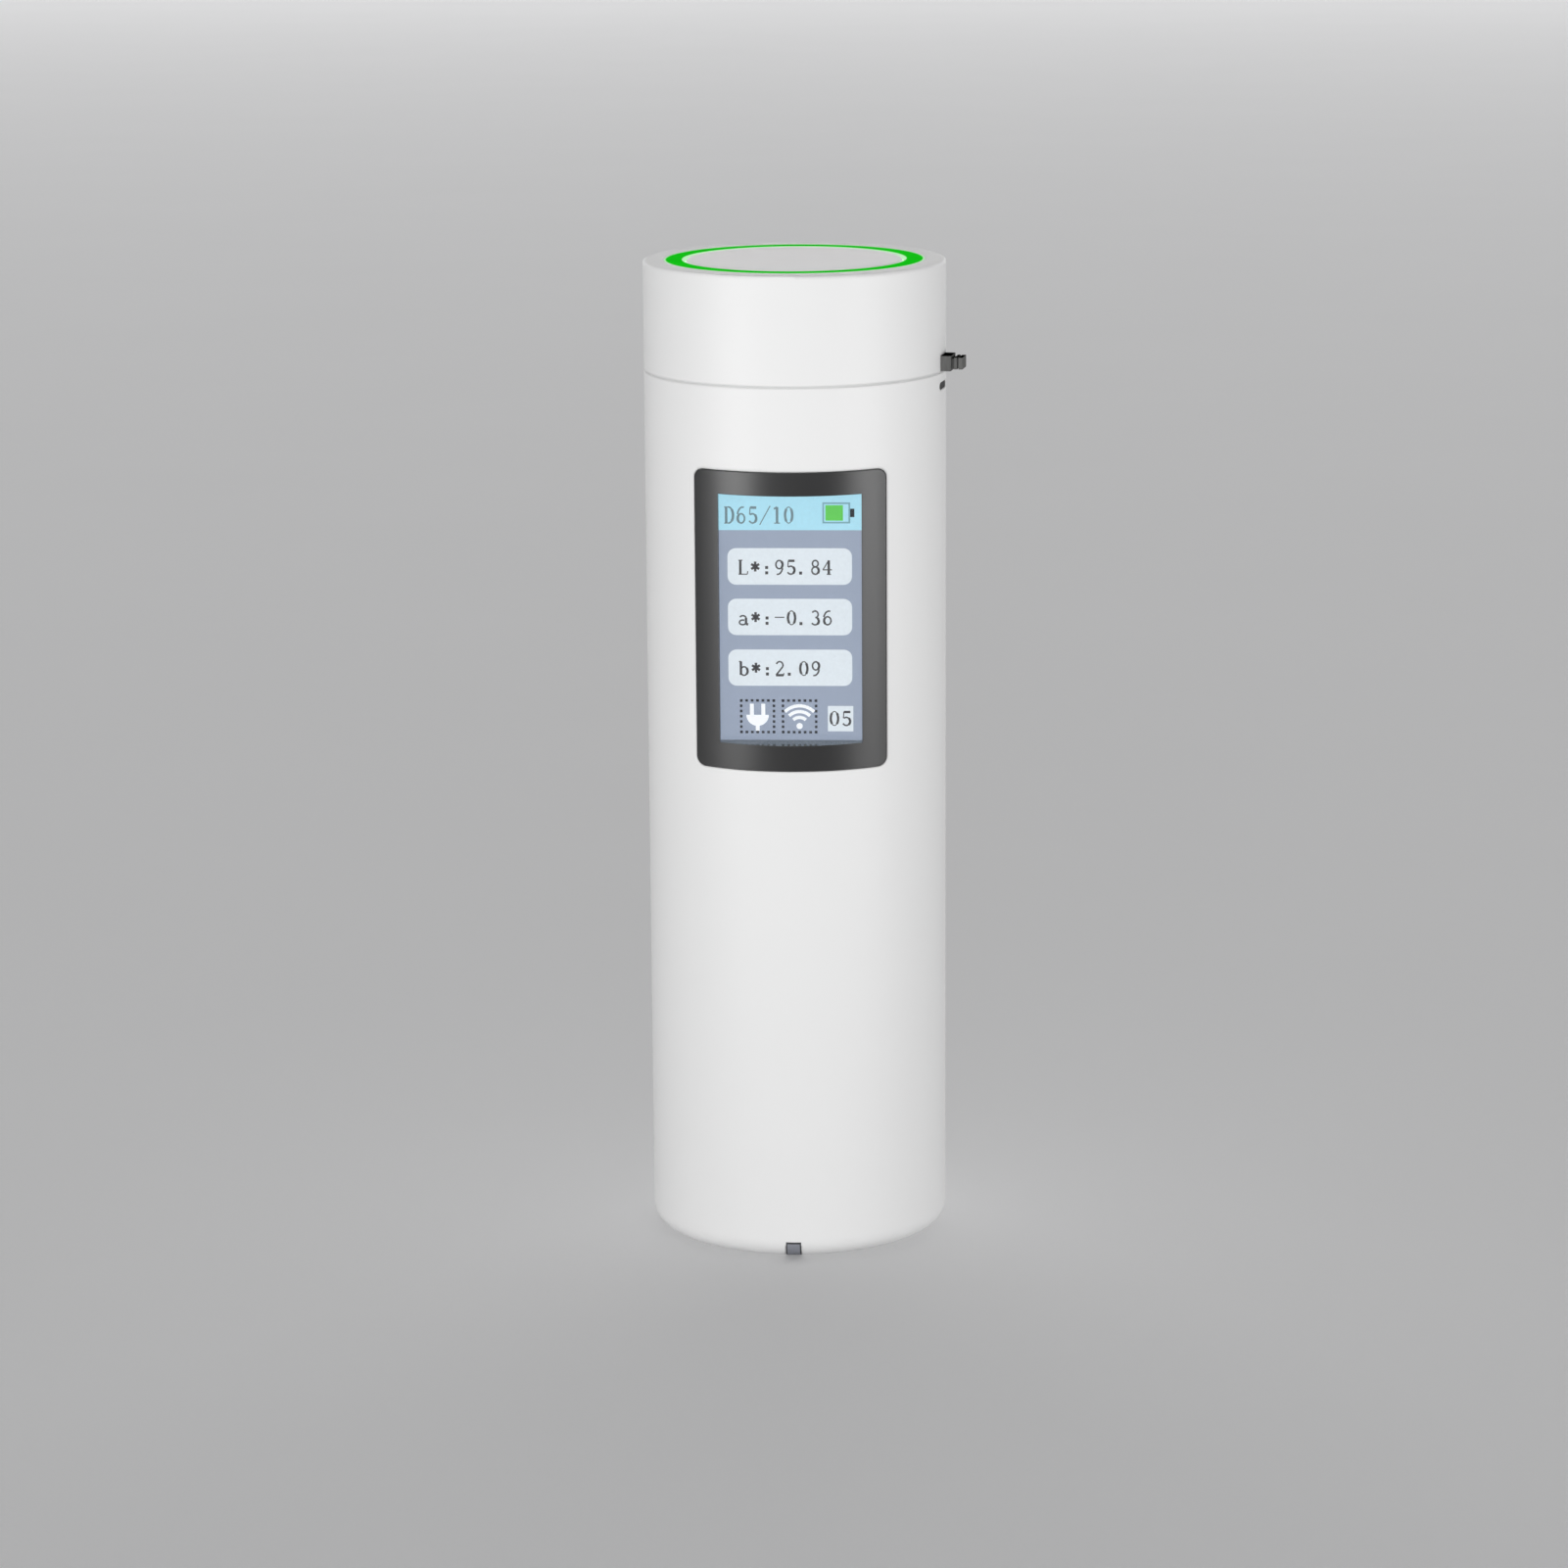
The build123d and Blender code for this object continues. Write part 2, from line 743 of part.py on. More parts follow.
with BuildPart() as sphere_lower:
    with BuildSketch(Plane.XZ):
        with Locations((0, equator)):
            Circle(dome_r)
            Rectangle(flange_r, sphere_flange, align=(Align.MIN, Align.MAX))
        with Locations((0, lip_top)):
            Rectangle(flange_r, sphere_foot, align=(Align.MIN, Align.MIN))
            Rectangle(lip_radius - slip, lip_thickness, align=(Align.MIN, Align.MAX))
        with Locations((0, equator)):
            Circle(sphere_r, mode=Mode.SUBTRACT)
        with Locations((0, plate_top)):
            Rectangle(plate_boss_r + slip, total_height, align=(Align.MIN, Align.MAX), mode=Mode.SUBTRACT)
        with Locations((0, lip_low)):
            Rectangle(flange_r, equator - lip_low, align=(Align.MIN, Align.MIN), mode=Mode.INTERSECT)
    revolve(axis=Axis.Z)
    # Ribs between foot and flange.
    with BuildSketch(level(foot_top)):
        with PolarLocations(0, rib_count, start_angle=360 / rib_count / 2):
            with Locations((sphere_r, 0)):
                Rectangle(flange_r - sphere_r - slip, rib_thickness, align=(Align.MIN, Align.CENTER))
    extrude(amount=equator - sphere_flange - foot_top)
    with BuildSketch(level(lip_low)):
        with PolarLocations(port_screw_circle_r, 3, start_angle=90):
            Circle(screw_r + slip)
    extrude(amount=port_screw_length + 2 * slip - lip_low, mode=Mode.SUBTRACT)
    with BuildSketch(level(equator)):
        with PolarLocations(flange_screw_circle_r, 3, start_angle=-90):
            Circle(screw_r + slip)
    extrude(amount=-sphere_flange, mode=Mode.SUBTRACT)
sphere_lower.part.label = "sphere_lower"

with BuildPart() as sphere_upper:
    with BuildSketch(Plane.XZ):
        with Locations((0, equator)):
            Circle(dome_r)
            Rectangle(flange_r, sphere_flange, align=(Align.MIN, Align.MIN))
            Rectangle(pad_radius, pad_top - equator, align=(Align.MIN, Align.MIN))
            Circle(sphere_r, mode=Mode.SUBTRACT)
            Rectangle(flange_r, pad_top, align=(Align.MIN, Align.MIN), mode=Mode.INTERSECT)
    revolve(axis=Axis.Z)
    # Four baffles hide the lamps from the sample.
    ceiling = equator + sqrt(sphere_r**2 - baffle_circle_r**2)
    with BuildSketch(level(ceiling - baffle_drop)):
        with PolarLocations(baffle_circle_r, light_count, start_angle=45):
            Rectangle(baffle_thickness, baffle_width)
    extrude(amount=baffle_drop + sphere_wall / 2)
    with BuildSketch(level(pad_top)):
        with PolarLocations(light_circle_r, light_count, start_angle=45):
            Circle(light_bore_r)
    extrude(amount=equator + sphere_r / 2 - pad_top, mode=Mode.SUBTRACT)
    with BuildSketch(viewing(pad_top + 2 * pad_over_sphere)):
        Circle(viewing_bore_r)
    extrude(amount=-sphere_r, mode=Mode.SUBTRACT)
    with BuildSketch(level(equator)):
        with PolarLocations(flange_screw_circle_r, 3, start_angle=-90):
            Circle(screw_r + slip)
    extrude(amount=sphere_flange, mode=Mode.SUBTRACT)
sphere_upper.part.label = "sphere_upper"

flange_screw = pan_screw(chassis_ring_height + 2 * sphere_flange - 2 * slip)

with BuildPart() as flange_screws:
    with Locations(level(rail_low)):
        with PolarLocations(flange_screw_circle_r, 3, start_angle=-90):
            add(flange_screw)
flange_screws.part.label = "flange_screws"

with BuildPart() as illumination_board:
    with BuildSketch(level(pad_top)):
        Circle(rail_inner_r - 3 * panel_gap)
        with Locations((0, -(pad_top + board_thickness / 2) * tan(radians(viewing_tilt)))):
            Circle(tube_outer_r + 3 * panel_gap, mode=Mode.SUBTRACT)
    extrude(amount=board_thickness)
illumination_board.part.label = "illumination_board"

with BuildPart() as illumination_leds:
    with Locations(level(pad_top)):
        with PolarLocations(light_circle_r, light_count, start_angle=45):
            Box(light_side, light_side, light_height, align=(Align.CENTER, Align.CENTER, Align.MAX))
illumination_leds.part.label = "illumination_leds"

with BuildPart() as sensor_tube:
    with BuildSketch(viewing(pad_top - pad_over_sphere)):
        Circle(tube_outer_r)
    extrude(amount=sensor_at - pad_top + pad_over_sphere)
    with BuildSketch(viewing(tube_head_from)):
        Circle(tube_head_r)
    extrude(amount=sensor_at - tube_head_from)
    with BuildSketch(viewing(pad_top - pad_over_sphere)):
        Circle(viewing_bore_r)
    extrude(amount=far, mode=Mode.SUBTRACT)
    with BuildSketch(viewing(lens_seat_at)):
        Circle(lens_seat_r)
    extrude(amount=lens_seat_depth, mode=Mode.SUBTRACT)
    with BuildSketch(viewing(lens_seat_at + lens_seat_depth)):
        Circle(sensor_well_r)
    extrude(amount=far, mode=Mode.SUBTRACT)
    split(bisect_by=level(pad_top), keep=Keep.TOP)
sensor_tube.part.label = "sensor_tube"

with BuildPart(viewing(lens_seat_at + focus_lens_thickness / 2)) as focus_lens:
    Cylinder(lens_seat_r - slip, focus_lens_thickness)
    with Locations((0, 0, focus_lens_thickness / 2 - focus_lens_curve_r)):
        Sphere(focus_lens_curve_r, mode=Mode.INTERSECT)
focus_lens.part.label = "focus_lens"

with BuildPart() as sensor_board:
    with BuildSketch(viewing(sensor_at)):
        RectangleRounded(sensor_board_side, sensor_board_side, board_thickness)
    extrude(amount=board_thickness)
sensor_board.part.label = "sensor_board"

with BuildPart() as spectral_sensor:
    with BuildSketch(viewing(sensor_at)):
        Rectangle(sensor_chip_side, sensor_chip_side)
    extrude(amount=-chip_height)
    with BuildSketch(viewing(sensor_at - chip_height)):
        Circle(sensor_chip_side / 4)
    extrude(amount=chip_height / 4, mode=Mode.SUBTRACT)
spectral_sensor.part.label = "spectral_sensor"

# Chassis

rail_sections = band(rail_inner_r, rail_outer_r, rail_first, rail_last)
plate_returns = band(rail_inner_r, rail_outer_r, plate_edge_angle, rail_first + 1)

with BuildPart() as chassis:
    with BuildSketch(level(chassis_low)):
        Circle(rail_outer_r)
        Circle(chassis_ring_inner_r, mode=Mode.SUBTRACT)
        with PolarLocations(flange_screw_circle_r, 3, start_angle=-90):
            Circle(screw_r + slip, mode=Mode.SUBTRACT)
    extrude(amount=chassis_ring_height)
    with BuildSketch(level(rail_low)):
        add(rail_sections)
    extrude(amount=chassis_top - rail_low)
    with BuildSketch(level(front_plate_low)):
        with Locations((0, -plate_front_y)):
            Rectangle(2 * plate_half_width, front_plate_thickness, align=(Align.CENTER, Align.MIN))
        add(plate_returns)
    extrude(amount=chassis_top - front_plate_low)
    # Cradles clasp the battery, open to the back.
    with BuildSketch(*[level(battery_low + battery_length * share) for share in cradle_shares]):
        Circle(rail_middle_r)
        with Locations((0, battery_back)):
            Rectangle(far, battery_diameter - 2 * battery_gap, mode=Mode.INTERSECT)
            Circle(battery_r + cradle_gap, mode=Mode.SUBTRACT)
            Rectangle(cradle_mouth, far, mode=Mode.SUBTRACT)
    extrude(amount=cradle_thickness)
    # Shelf for the charging socket's board.
    with BuildSketch(level(shelf_low)):
        Circle(rail_middle_r)
        with Locations((0, shelf_front)):
            Rectangle(far, shelf_back - shelf_front, align=(Align.CENTER, Align.MIN), mode=Mode.INTERSECT)
        with Locations((-usb_screw_x, usb_screw_y), (usb_screw_x, usb_screw_y)):
            Circle(screw_r + slip, mode=Mode.SUBTRACT)
    extrude(amount=shelf_thickness)
    # Floor under the battery, with a slot for wires.
    with BuildSketch(level(floor_low)):
        Circle(rail_middle_r)
        with Locations((0, -plate_front_y)):
            Rectangle(far, far, align=(Align.CENTER, Align.MIN), mode=Mode.INTERSECT)
        with Locations((0, -(plate_back_y + main_board_back) / 2)):
            SlotOverall(flex_width, front_plate_thickness * 2, mode=Mode.SUBTRACT)
    extrude(amount=floor_thickness)
    with BuildSketch(facing(0, panel_middle)):
        Rectangle(plate_window_width, plate_window_height)
    extrude(amount=far, mode=Mode.SUBTRACT)
    with BuildSketch(facing(0, flex_slot_middle)):
        Rectangle(flex_slot_width, flex_slot_height)
    extrude(amount=far, mode=Mode.SUBTRACT)
    # Standoffs for the control board.
    for row in standoff_rows:
        with BuildSketch(facing(0, row).offset(main_board_front)):
            with Locations((-standoff_x, 0), (standoff_x, 0)):
                Circle(standoff_radius)
        extrude(amount=standoff_height)
        with BuildSketch(facing(0, row).offset(main_board_front)):
            with Locations((-standoff_x, 0), (standoff_x, 0)):
                Circle(screw_r + slip)
        extrude(amount=standoff_height, mode=Mode.SUBTRACT)
chassis.part.label = "chassis"

# Control board

with BuildPart() as main_board:
    with BuildSketch(facing(0, main_board_middle).offset(main_board_back)):
        RectangleRounded(main_board_width, main_board_height, board_thickness)
        for row in standoff_rows:
            with Locations((-standoff_x, row - main_board_middle), (standoff_x, row - main_board_middle)):
                Circle(screw_r + slip, mode=Mode.SUBTRACT)
    extrude(amount=board_thickness)
main_board.part.label = "main_board"

board_screw = pan_screw(board_thickness + standoff_height - 2 * slip)

with BuildPart() as board_screws:
    for row in standoff_rows:
        with Locations(facing(180, row).offset(-main_board_back)):
            with Locations((-standoff_x, 0), (standoff_x, 0)):
                add(board_screw)
board_screws.part.label = "board_screws"

with BuildPart() as board_chips:
    with BuildSketch(facing(180, processor_middle).offset(-main_board_back)):
        Rectangle(processor_side, processor_side)
        with Locations((-processor_side / 2 - memory_side * 0.7, memory_side / 2)):
            Rectangle(memory_side, memory_side)
        with Locations((processor_side / 2 + charger_width, charger_height / 2)):
            Rectangle(charger_width, charger_height)
    extrude(amount=chip_height)
    with BuildSketch(facing(0, main_board_middle).offset(main_board_front)):
        with Locations((-driver_width / 2, driver_height / 2)):
            Rectangle(driver_width, driver_height)
        with Locations((driver_width * 0.7, driver_height * 1.5)):
            Rectangle(crystal_side, crystal_side)
    extrude(amount=chip_height)
board_chips.part.label = "board_chips"

with BuildPart() as wireless_module:
    with BuildSketch(facing(180, module_middle).offset(-main_board_back)):
        Rectangle(module_width, module_height)
    extrude(amount=module_board_thickness)
    with BuildSketch(facing(180, module_middle).offset(module_board_thickness - main_board_back)):
        with Locations((0, -module_height / 8)):
            RectangleRounded(module_width * 0.85, module_height * 0.65, module_board_thickness)
    extrude(amount=can_thickness)
wireless_module.part.label = "wireless_module"

with BuildPart() as display_connector:
    with BuildSketch(facing(0, flex_slot_middle).offset(main_board_front)):
        Rectangle(flex_width + connector_height, 2 * connector_height)
    extrude(amount=connector_height)
display_connector.part.label = "display_connector"

# Battery

with BuildPart() as battery_cell:
    with BuildSketch(Plane.XZ.offset(-battery_back)):
        with Locations((0, battery_low)):
            Rectangle(battery_r, battery_length - battery_cap_height, align=(Align.MIN, Align.MIN))
            Rectangle(battery_cap_r, battery_length, align=(Align.MIN, Align.MIN))
    revolve(axis=Axis((0, battery_back, 0), (0, 0, 1)))
battery_cell.part.label = "battery_cell"

tab_back = battery_back + battery_cap_r
tab_fold = -main_board_back

with BuildPart() as battery_tabs:
    with BuildSketch(Plane.YZ.offset(-tab_width / 2)):
        with Locations((tab_fold, battery_low)):
            Rectangle(tab_back - tab_fold, tab_thickness, align=(Align.MIN, Align.MAX))
            Rectangle(tab_thickness, tab_width, align=(Align.MIN, Align.MIN))
        with Locations((tab_fold, battery_low + battery_length)):
            Rectangle(tab_back - tab_fold, tab_thickness, align=(Align.MIN, Align.MIN))
            Rectangle(tab_thickness, tab_width, align=(Align.MIN, Align.MAX))
    extrude(amount=tab_width)
battery_tabs.part.label = "battery_tabs"

# Charging socket

with BuildPart() as usb_board:
    with BuildSketch(level(usb_board_low)):
        with Locations((0, usb_board_front)):
            Rectangle(usb_board_width, usb_board_back - usb_board_front, align=(Align.CENTER, Align.MIN))
        with Locations((-usb_screw_x, usb_screw_y), (usb_screw_x, usb_screw_y)):
            Circle(screw_r + slip, mode=Mode.SUBTRACT)
    extrude(amount=board_thickness)
usb_board.part.label = "usb_board"

usb_screw = pan_screw(board_thickness + shelf_thickness)

with BuildPart() as usb_screws:
    with Locations(level(usb_low)):
        with Locations((-usb_screw_x, usb_screw_y), (usb_screw_x, usb_screw_y)):
            add(usb_screw)
usb_screws.part.label = "usb_screws"

usb_plane = facing(180, usb_low + usb_height / 2)

with BuildPart() as usb_socket:
    with BuildSketch(usb_plane.offset(usb_mouth)):
        SlotOverall(usb_width, usb_height)
    extrude(amount=-usb_length)
    with BuildSketch(usb_plane.offset(usb_mouth)):
        SlotOverall(usb_width - 2 * usb_shell, usb_height - 2 * usb_shell)
    extrude(amount=-(usb_length - usb_back_wall), mode=Mode.SUBTRACT)
    with BuildSketch(usb_plane.offset(usb_mouth - usb_length + usb_back_wall)):
        Rectangle(usb_tongue_width, usb_tongue_thickness)
    extrude(amount=usb_tongue_length)
usb_socket.part.label = "usb_socket"

pieces = [
    body_shell,
    index_mark,
    head_shell,
    lanyard_stud,
    light_ring,
    head_frame,
    switch_board,
    head_screws,
    ring_leds,
    tact_switch,
    switch_plunger,
    measure_button,
    button_boot,
    display_bezel,
    display_lens,
    display_panel,
    display_cushion,
    display_flex,
    port_plate,
    port_screws,
    sphere_lower,
    sphere_upper,
    flange_screws,
    illumination_board,
    illumination_leds,
    sensor_tube,
    focus_lens,
    sensor_board,
    spectral_sensor,
    chassis,
    main_board,
    board_screws,
    board_chips,
    wireless_module,
    display_connector,
    battery_cell,
    battery_tabs,
    usb_board,
    usb_screws,
    usb_socket,
]

os.makedirs("parts", exist_ok=True)
for piece in pieces:
    export_step(piece.part, f"parts/{piece.part.label}.step")
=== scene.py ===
# A hand-held colour reader: a slim white cylinder with a lit ring round its measure button
# and a colour display in a dark frame. Metres, +Z up, the display faces -Y.

import json
from math import cos, pi, radians, sin, sqrt

import bmesh
import bpy
from mathutils import Matrix, Vector

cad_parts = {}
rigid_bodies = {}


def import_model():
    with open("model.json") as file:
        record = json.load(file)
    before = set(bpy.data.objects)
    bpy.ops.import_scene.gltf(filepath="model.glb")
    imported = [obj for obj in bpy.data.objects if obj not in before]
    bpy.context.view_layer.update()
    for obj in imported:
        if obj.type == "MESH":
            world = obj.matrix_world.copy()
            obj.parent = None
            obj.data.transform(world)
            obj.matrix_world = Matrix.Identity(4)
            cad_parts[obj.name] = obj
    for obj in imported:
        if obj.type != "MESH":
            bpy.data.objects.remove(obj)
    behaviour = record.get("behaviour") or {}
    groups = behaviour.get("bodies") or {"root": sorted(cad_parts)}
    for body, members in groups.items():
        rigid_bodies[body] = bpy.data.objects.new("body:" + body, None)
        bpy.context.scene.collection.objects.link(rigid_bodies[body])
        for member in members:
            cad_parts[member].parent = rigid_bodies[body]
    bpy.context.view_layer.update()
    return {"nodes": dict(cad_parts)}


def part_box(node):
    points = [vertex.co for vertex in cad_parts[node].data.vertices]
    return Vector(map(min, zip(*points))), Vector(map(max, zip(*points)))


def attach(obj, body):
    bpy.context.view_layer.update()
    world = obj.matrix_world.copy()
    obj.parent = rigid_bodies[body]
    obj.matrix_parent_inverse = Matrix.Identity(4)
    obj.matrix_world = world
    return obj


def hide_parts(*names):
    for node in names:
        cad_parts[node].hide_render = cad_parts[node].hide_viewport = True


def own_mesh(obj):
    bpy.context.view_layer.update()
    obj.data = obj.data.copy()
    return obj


MM = 0.001

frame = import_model()
nodes = frame["nodes"]

# Sizes read from the frame
button_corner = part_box("measure_button")[1]
button_r = button_corner.x
top = button_corner.z
ring_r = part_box("light_ring")[1].x
ring_inner_r = button_r + 0.2 * MM
shell_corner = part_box("body_shell")[1]
body_r = shell_corner.x
seam_z = shell_corner.z
panel_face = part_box("display_panel")[0].y
boot_low, boot_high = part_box("button_boot")


# Materials


def new_material(name):
    """A new node material, its node tree and its Principled shader."""
    material = bpy.data.materials.new(name)
    material.use_nodes = True
    return material, material.node_tree, material.node_tree.nodes["Principled BSDF"]


def set_inputs(tree, node, inputs):
    """Sets or links each of these inputs of a node, by name or number."""
    for key, value in inputs.items():
        socket = node.inputs[key]
        if isinstance(value, bpy.types.NodeSocket):
            tree.links.new(value, socket)
        else:
            socket.default_value = value


def add(tree, kind, inputs=None, **settings):
    """Adds a node with its settings and inputs."""
    node = tree.nodes.new(kind)
    for key, value in settings.items():
        setattr(node, key, value)
    set_inputs(tree, node, inputs or {})
    return node


def shade(colour, factor):
    """A colour made lighter or darker."""
    return (*[min(1.0, c * factor) for c in colour[:3]], 1.0)


def noise(tree, size, detail=3.0, stretch=(1, 1, 1)):
    """Noise with features of about that size in metres, in the frame's own coordinates."""
    place = add(tree, "ShaderNodeTexCoord").outputs["Object"]
    mapping = add(tree, "ShaderNodeMapping", {"Vector": place, "Scale": stretch})
    return add(
        tree, "ShaderNodeTexNoise", {"Vector": mapping.outputs[0], "Scale": 1 / size, "Detail": detail}
    ).outputs["Fac"]


def ranged(tree, value, low, high, from_low=0.3, from_high=0.7):
    """A value stretched to a new range."""
    return add(
        tree,
        "ShaderNodeMapRange",
        {"Value": value, "From Min": from_low, "From Max": from_high, "To Min": low, "To Max": high},
    ).outputs[0]


def mix_colours(tree, value, first, second):
    """A blend of two colours, each a value or a socket."""
    return add(tree, "ShaderNodeMix", {0: value, 6: first, 7: second}, data_type="RGBA").outputs[2]


def bumped(tree, value, depth, strength=1.0, normal=None):
    """A bump of that depth in metres from a height value."""
    inputs = {"Height": value, "Distance": depth, "Strength": strength}
    if normal is not None:
        inputs["Normal"] = normal
    return add(tree, "ShaderNodeBump", inputs).outputs[0]


def rounded(tree, radius):
    """Normals that soften the edges, as moulded pieces have them."""
    return add(tree, "ShaderNodeBevel", {"Radius": radius}, samples=6).outputs[0]


def level_faces(tree):
    """1 on faces that look up, 0 on all others."""
    normal = add(tree, "ShaderNodeNewGeometry").outputs["True Normal"]
    upward = add(tree, "ShaderNodeSeparateXYZ", {0: normal}).outputs["Z"]
    return ranged(tree, upward, 0.0, 1.0, 0.8, 0.95)


def axis_distance(tree):
    """Distance from the axis of the case."""
    place = add(tree, "ShaderNodeTexCoord").outputs["Object"]
    flat = add(tree, "ShaderNodeVectorMath", {0: place, 1: (1, 1, 0)}, operation="MULTIPLY").outputs[0]
    return add(tree, "ShaderNodeVectorMath", {0: flat}, operation="LENGTH").outputs["Value"]


def plastic(name, colour, roughness, grain, grain_depth, tone=0.03, edge=0.15 * MM, specular=0.5):
    """Moulded plastic with a fine surface grain, faint tone drift and softened edges."""
    material, tree, shader = new_material(name)
    drift = noise(tree, 9 * MM, 2.0)
    fine = noise(tree, grain, 4.0)
    looks = {
        "Base Color": mix_colours(tree, drift, shade(colour, 1 - tone), shade(colour, 1 + tone)),
        "Roughness": ranged(tree, fine, roughness * 0.9, roughness * 1.12),
        "Normal": bumped(tree, fine, grain_depth, normal=rounded(tree, edge)),
        "Specular IOR Level": specular,
    }
    set_inputs(tree, shader, looks)
    return material


def frame_finish(name, colour, roughness, polish, sill_painted_reflection):
    """Black plastic, satin in front and polished on the level sill, whose lighter blue-grey colour is a
    painted reflection of the display.
    """
    material = plastic(name, colour, roughness, 0.12 * MM, 0.002 * MM, 0.08, 0.1 * MM, 0.9)
    tree = material.node_tree
    level = level_faces(tree)
    grain = ranged(tree, noise(tree, 0.12 * MM, 4.0), roughness * 0.9, roughness * 1.12)
    front = mix_colours(tree, noise(tree, 9 * MM, 2.0), shade(colour, 0.92), shade(colour, 1.08))
    looks = {
        "Base Color": mix_colours(tree, level, front, sill_painted_reflection),
        "Roughness": add(tree, "ShaderNodeMix", {0: level, 2: grain, 3: polish}).outputs[0],
    }
    set_inputs(tree, tree.nodes["Principled BSDF"], looks)
    return material


def dark_on_top(name, colour, top_painted_shade):
    """Grey ribbed plastic whose level faces are painted black, as painted shade on the stud's top."""
    material = plastic(name, colour, 0.42, 0.1 * MM, 0.006 * MM, 0.1, 0.08 * MM, 0.0)
    tree = material.node_tree
    streaks = noise(tree, 0.35 * MM, 2.0, (1, 1, 0.2))
    front = mix_colours(tree, streaks, shade(colour, 0.7), shade(colour, 1.3))
    looks = {"Base Color": mix_colours(tree, level_faces(tree), front, top_painted_shade)}
    set_inputs(tree, tree.nodes["Principled BSDF"], looks)
    return material


def metal(name, colour, roughness, brushing):
    """Stamped or turned metal, brushed lightly along one direction."""
    material, tree, shader = new_material(name)
    lines = noise(tree, 0.25 * MM, 3.0, brushing)
    blotches = noise(tree, 2 * MM, 2.0)
    looks = {
        "Base Color": mix_colours(tree, blotches, shade(colour, 0.9), shade(colour, 1.08)),
        "Roughness": ranged(tree, lines, roughness * 0.75, roughness * 1.3),
        "Normal": bumped(tree, lines, 0.004 * MM, normal=rounded(tree, 0.06 * MM)),
        "Metallic": 1.0,
    }
    set_inputs(tree, shader, looks)
    return material


def rubber(name, colour):
    """Soft silicone or foam with fine pores."""
    material, tree, shader = new_material(name)
    place = add(tree, "ShaderNodeTexCoord").outputs["Object"]
    pores = add(tree, "ShaderNodeTexVoronoi", {"Vector": place, "Scale": 1 / (0.25 * MM)}).outputs["Distance"]
    looks = {
        "Base Color": mix_colours(tree, pores, shade(colour, 0.75), shade(colour, 1.15)),
        "Roughness": ranged(tree, pores, 0.62, 0.8, 0.0, 0.6),
        "Normal": bumped(tree, pores, 0.03 * MM),
    }
    set_inputs(tree, shader, looks)
    return material


def circuit(name):
    """Green solder mask over faint copper tracks, with gold pads here and there."""
    material, tree, shader = new_material(name)
    place = add(tree, "ShaderNodeTexCoord").outputs["Object"]
    track_looks = {
        "Vector": place,
        "Scale": 1 / (4 * MM),
        "Mortar Size": 0.06,
        "Color1": (0.012, 0.13, 0.05, 1),
        "Color2": (0.014, 0.16, 0.06, 1),
        "Mortar": (0.03, 0.24, 0.09, 1),
    }
    tracks = add(tree, "ShaderNodeTexBrick", track_looks)
    spots = add(tree, "ShaderNodeTexVoronoi", {"Vector": place, "Scale": 1 / (1.6 * MM)}).outputs["Distance"]
    pads = ranged(tree, spots, 1.0, 0.0, 0.10, 0.12)
    looks = {
        "Base Color": mix_colours(tree, pads, tracks.outputs["Color"], (0.75, 0.52, 0.18, 1)),
        "Roughness": ranged(tree, noise(tree, 1.5 * MM), 0.25, 0.4),
        "Normal": bumped(tree, tracks.outputs["Fac"], 0.02 * MM),
    }
    set_inputs(tree, shader, looks)
    return material


def lit(name, colour, strength):
    """A surface that glows: its own light on top of what it reflects, with a faint unevenness."""
    material, tree, shader = new_material(name)
    uneven = noise(tree, 0.35 * MM, 2.0)
    looks = {
        "Base Color": mix_colours(tree, uneven, shade(colour, 0.1), shade(colour, 0.14)),
        "Emission Color": mix_colours(tree, uneven, shade(colour, 0.96), shade(colour, 1.04)),
        "Emission Strength": strength,
        "Roughness": 0.4,
    }
    set_inputs(tree, shader, looks)
    return material


def chalky_lining(name):
    """White diffuse lining with a chalky grain."""
    material, tree, shader = new_material(name)
    chalk = noise(tree, 0.3 * MM, 5.0)
    looks = {
        "Base Color": mix_colours(tree, chalk, (0.86, 0.86, 0.85, 1), (0.95, 0.95, 0.94, 1)),
        "Normal": bumped(tree, chalk, 0.03 * MM, normal=rounded(tree, 0.2 * MM)),
        "Roughness": 0.85,
        "Specular IOR Level": 0.25,
    }
    set_inputs(tree, shader, looks)
    return material


def clear_cover(name):
    """Clear hard cover of the display, with the faintest haze."""
    material, tree, shader = new_material(name)
    looks = {
        "Base Color": (0.97, 0.98, 0.99, 1),
        "Roughness": ranged(tree, noise(tree, 1.2 * MM), 0.02, 0.06),
        "Transmission Weight": 1.0,
        "IOR": 1.35,
        "Specular IOR Level": 0.35,
    }
    set_inputs(tree, shader, looks)
    return material


def wrapped_cell(name):
    """Blue shrink wrap with a slight sheen and fine ripples round the cell."""
    material, tree, shader = new_material(name)
    ripples = noise(tree, 1.2 * MM, 2.0, (1, 1, 0.25))
    looks = {
        "Base Color": mix_colours(tree, ripples, (0.02, 0.09, 0.30, 1), (0.03, 0.13, 0.40, 1)),
        "Roughness": ranged(tree, ripples, 0.22, 0.36),
        "Normal": bumped(tree, ripples, 0.03 * MM),
    }
    set_inputs(tree, shader, looks)
    return material


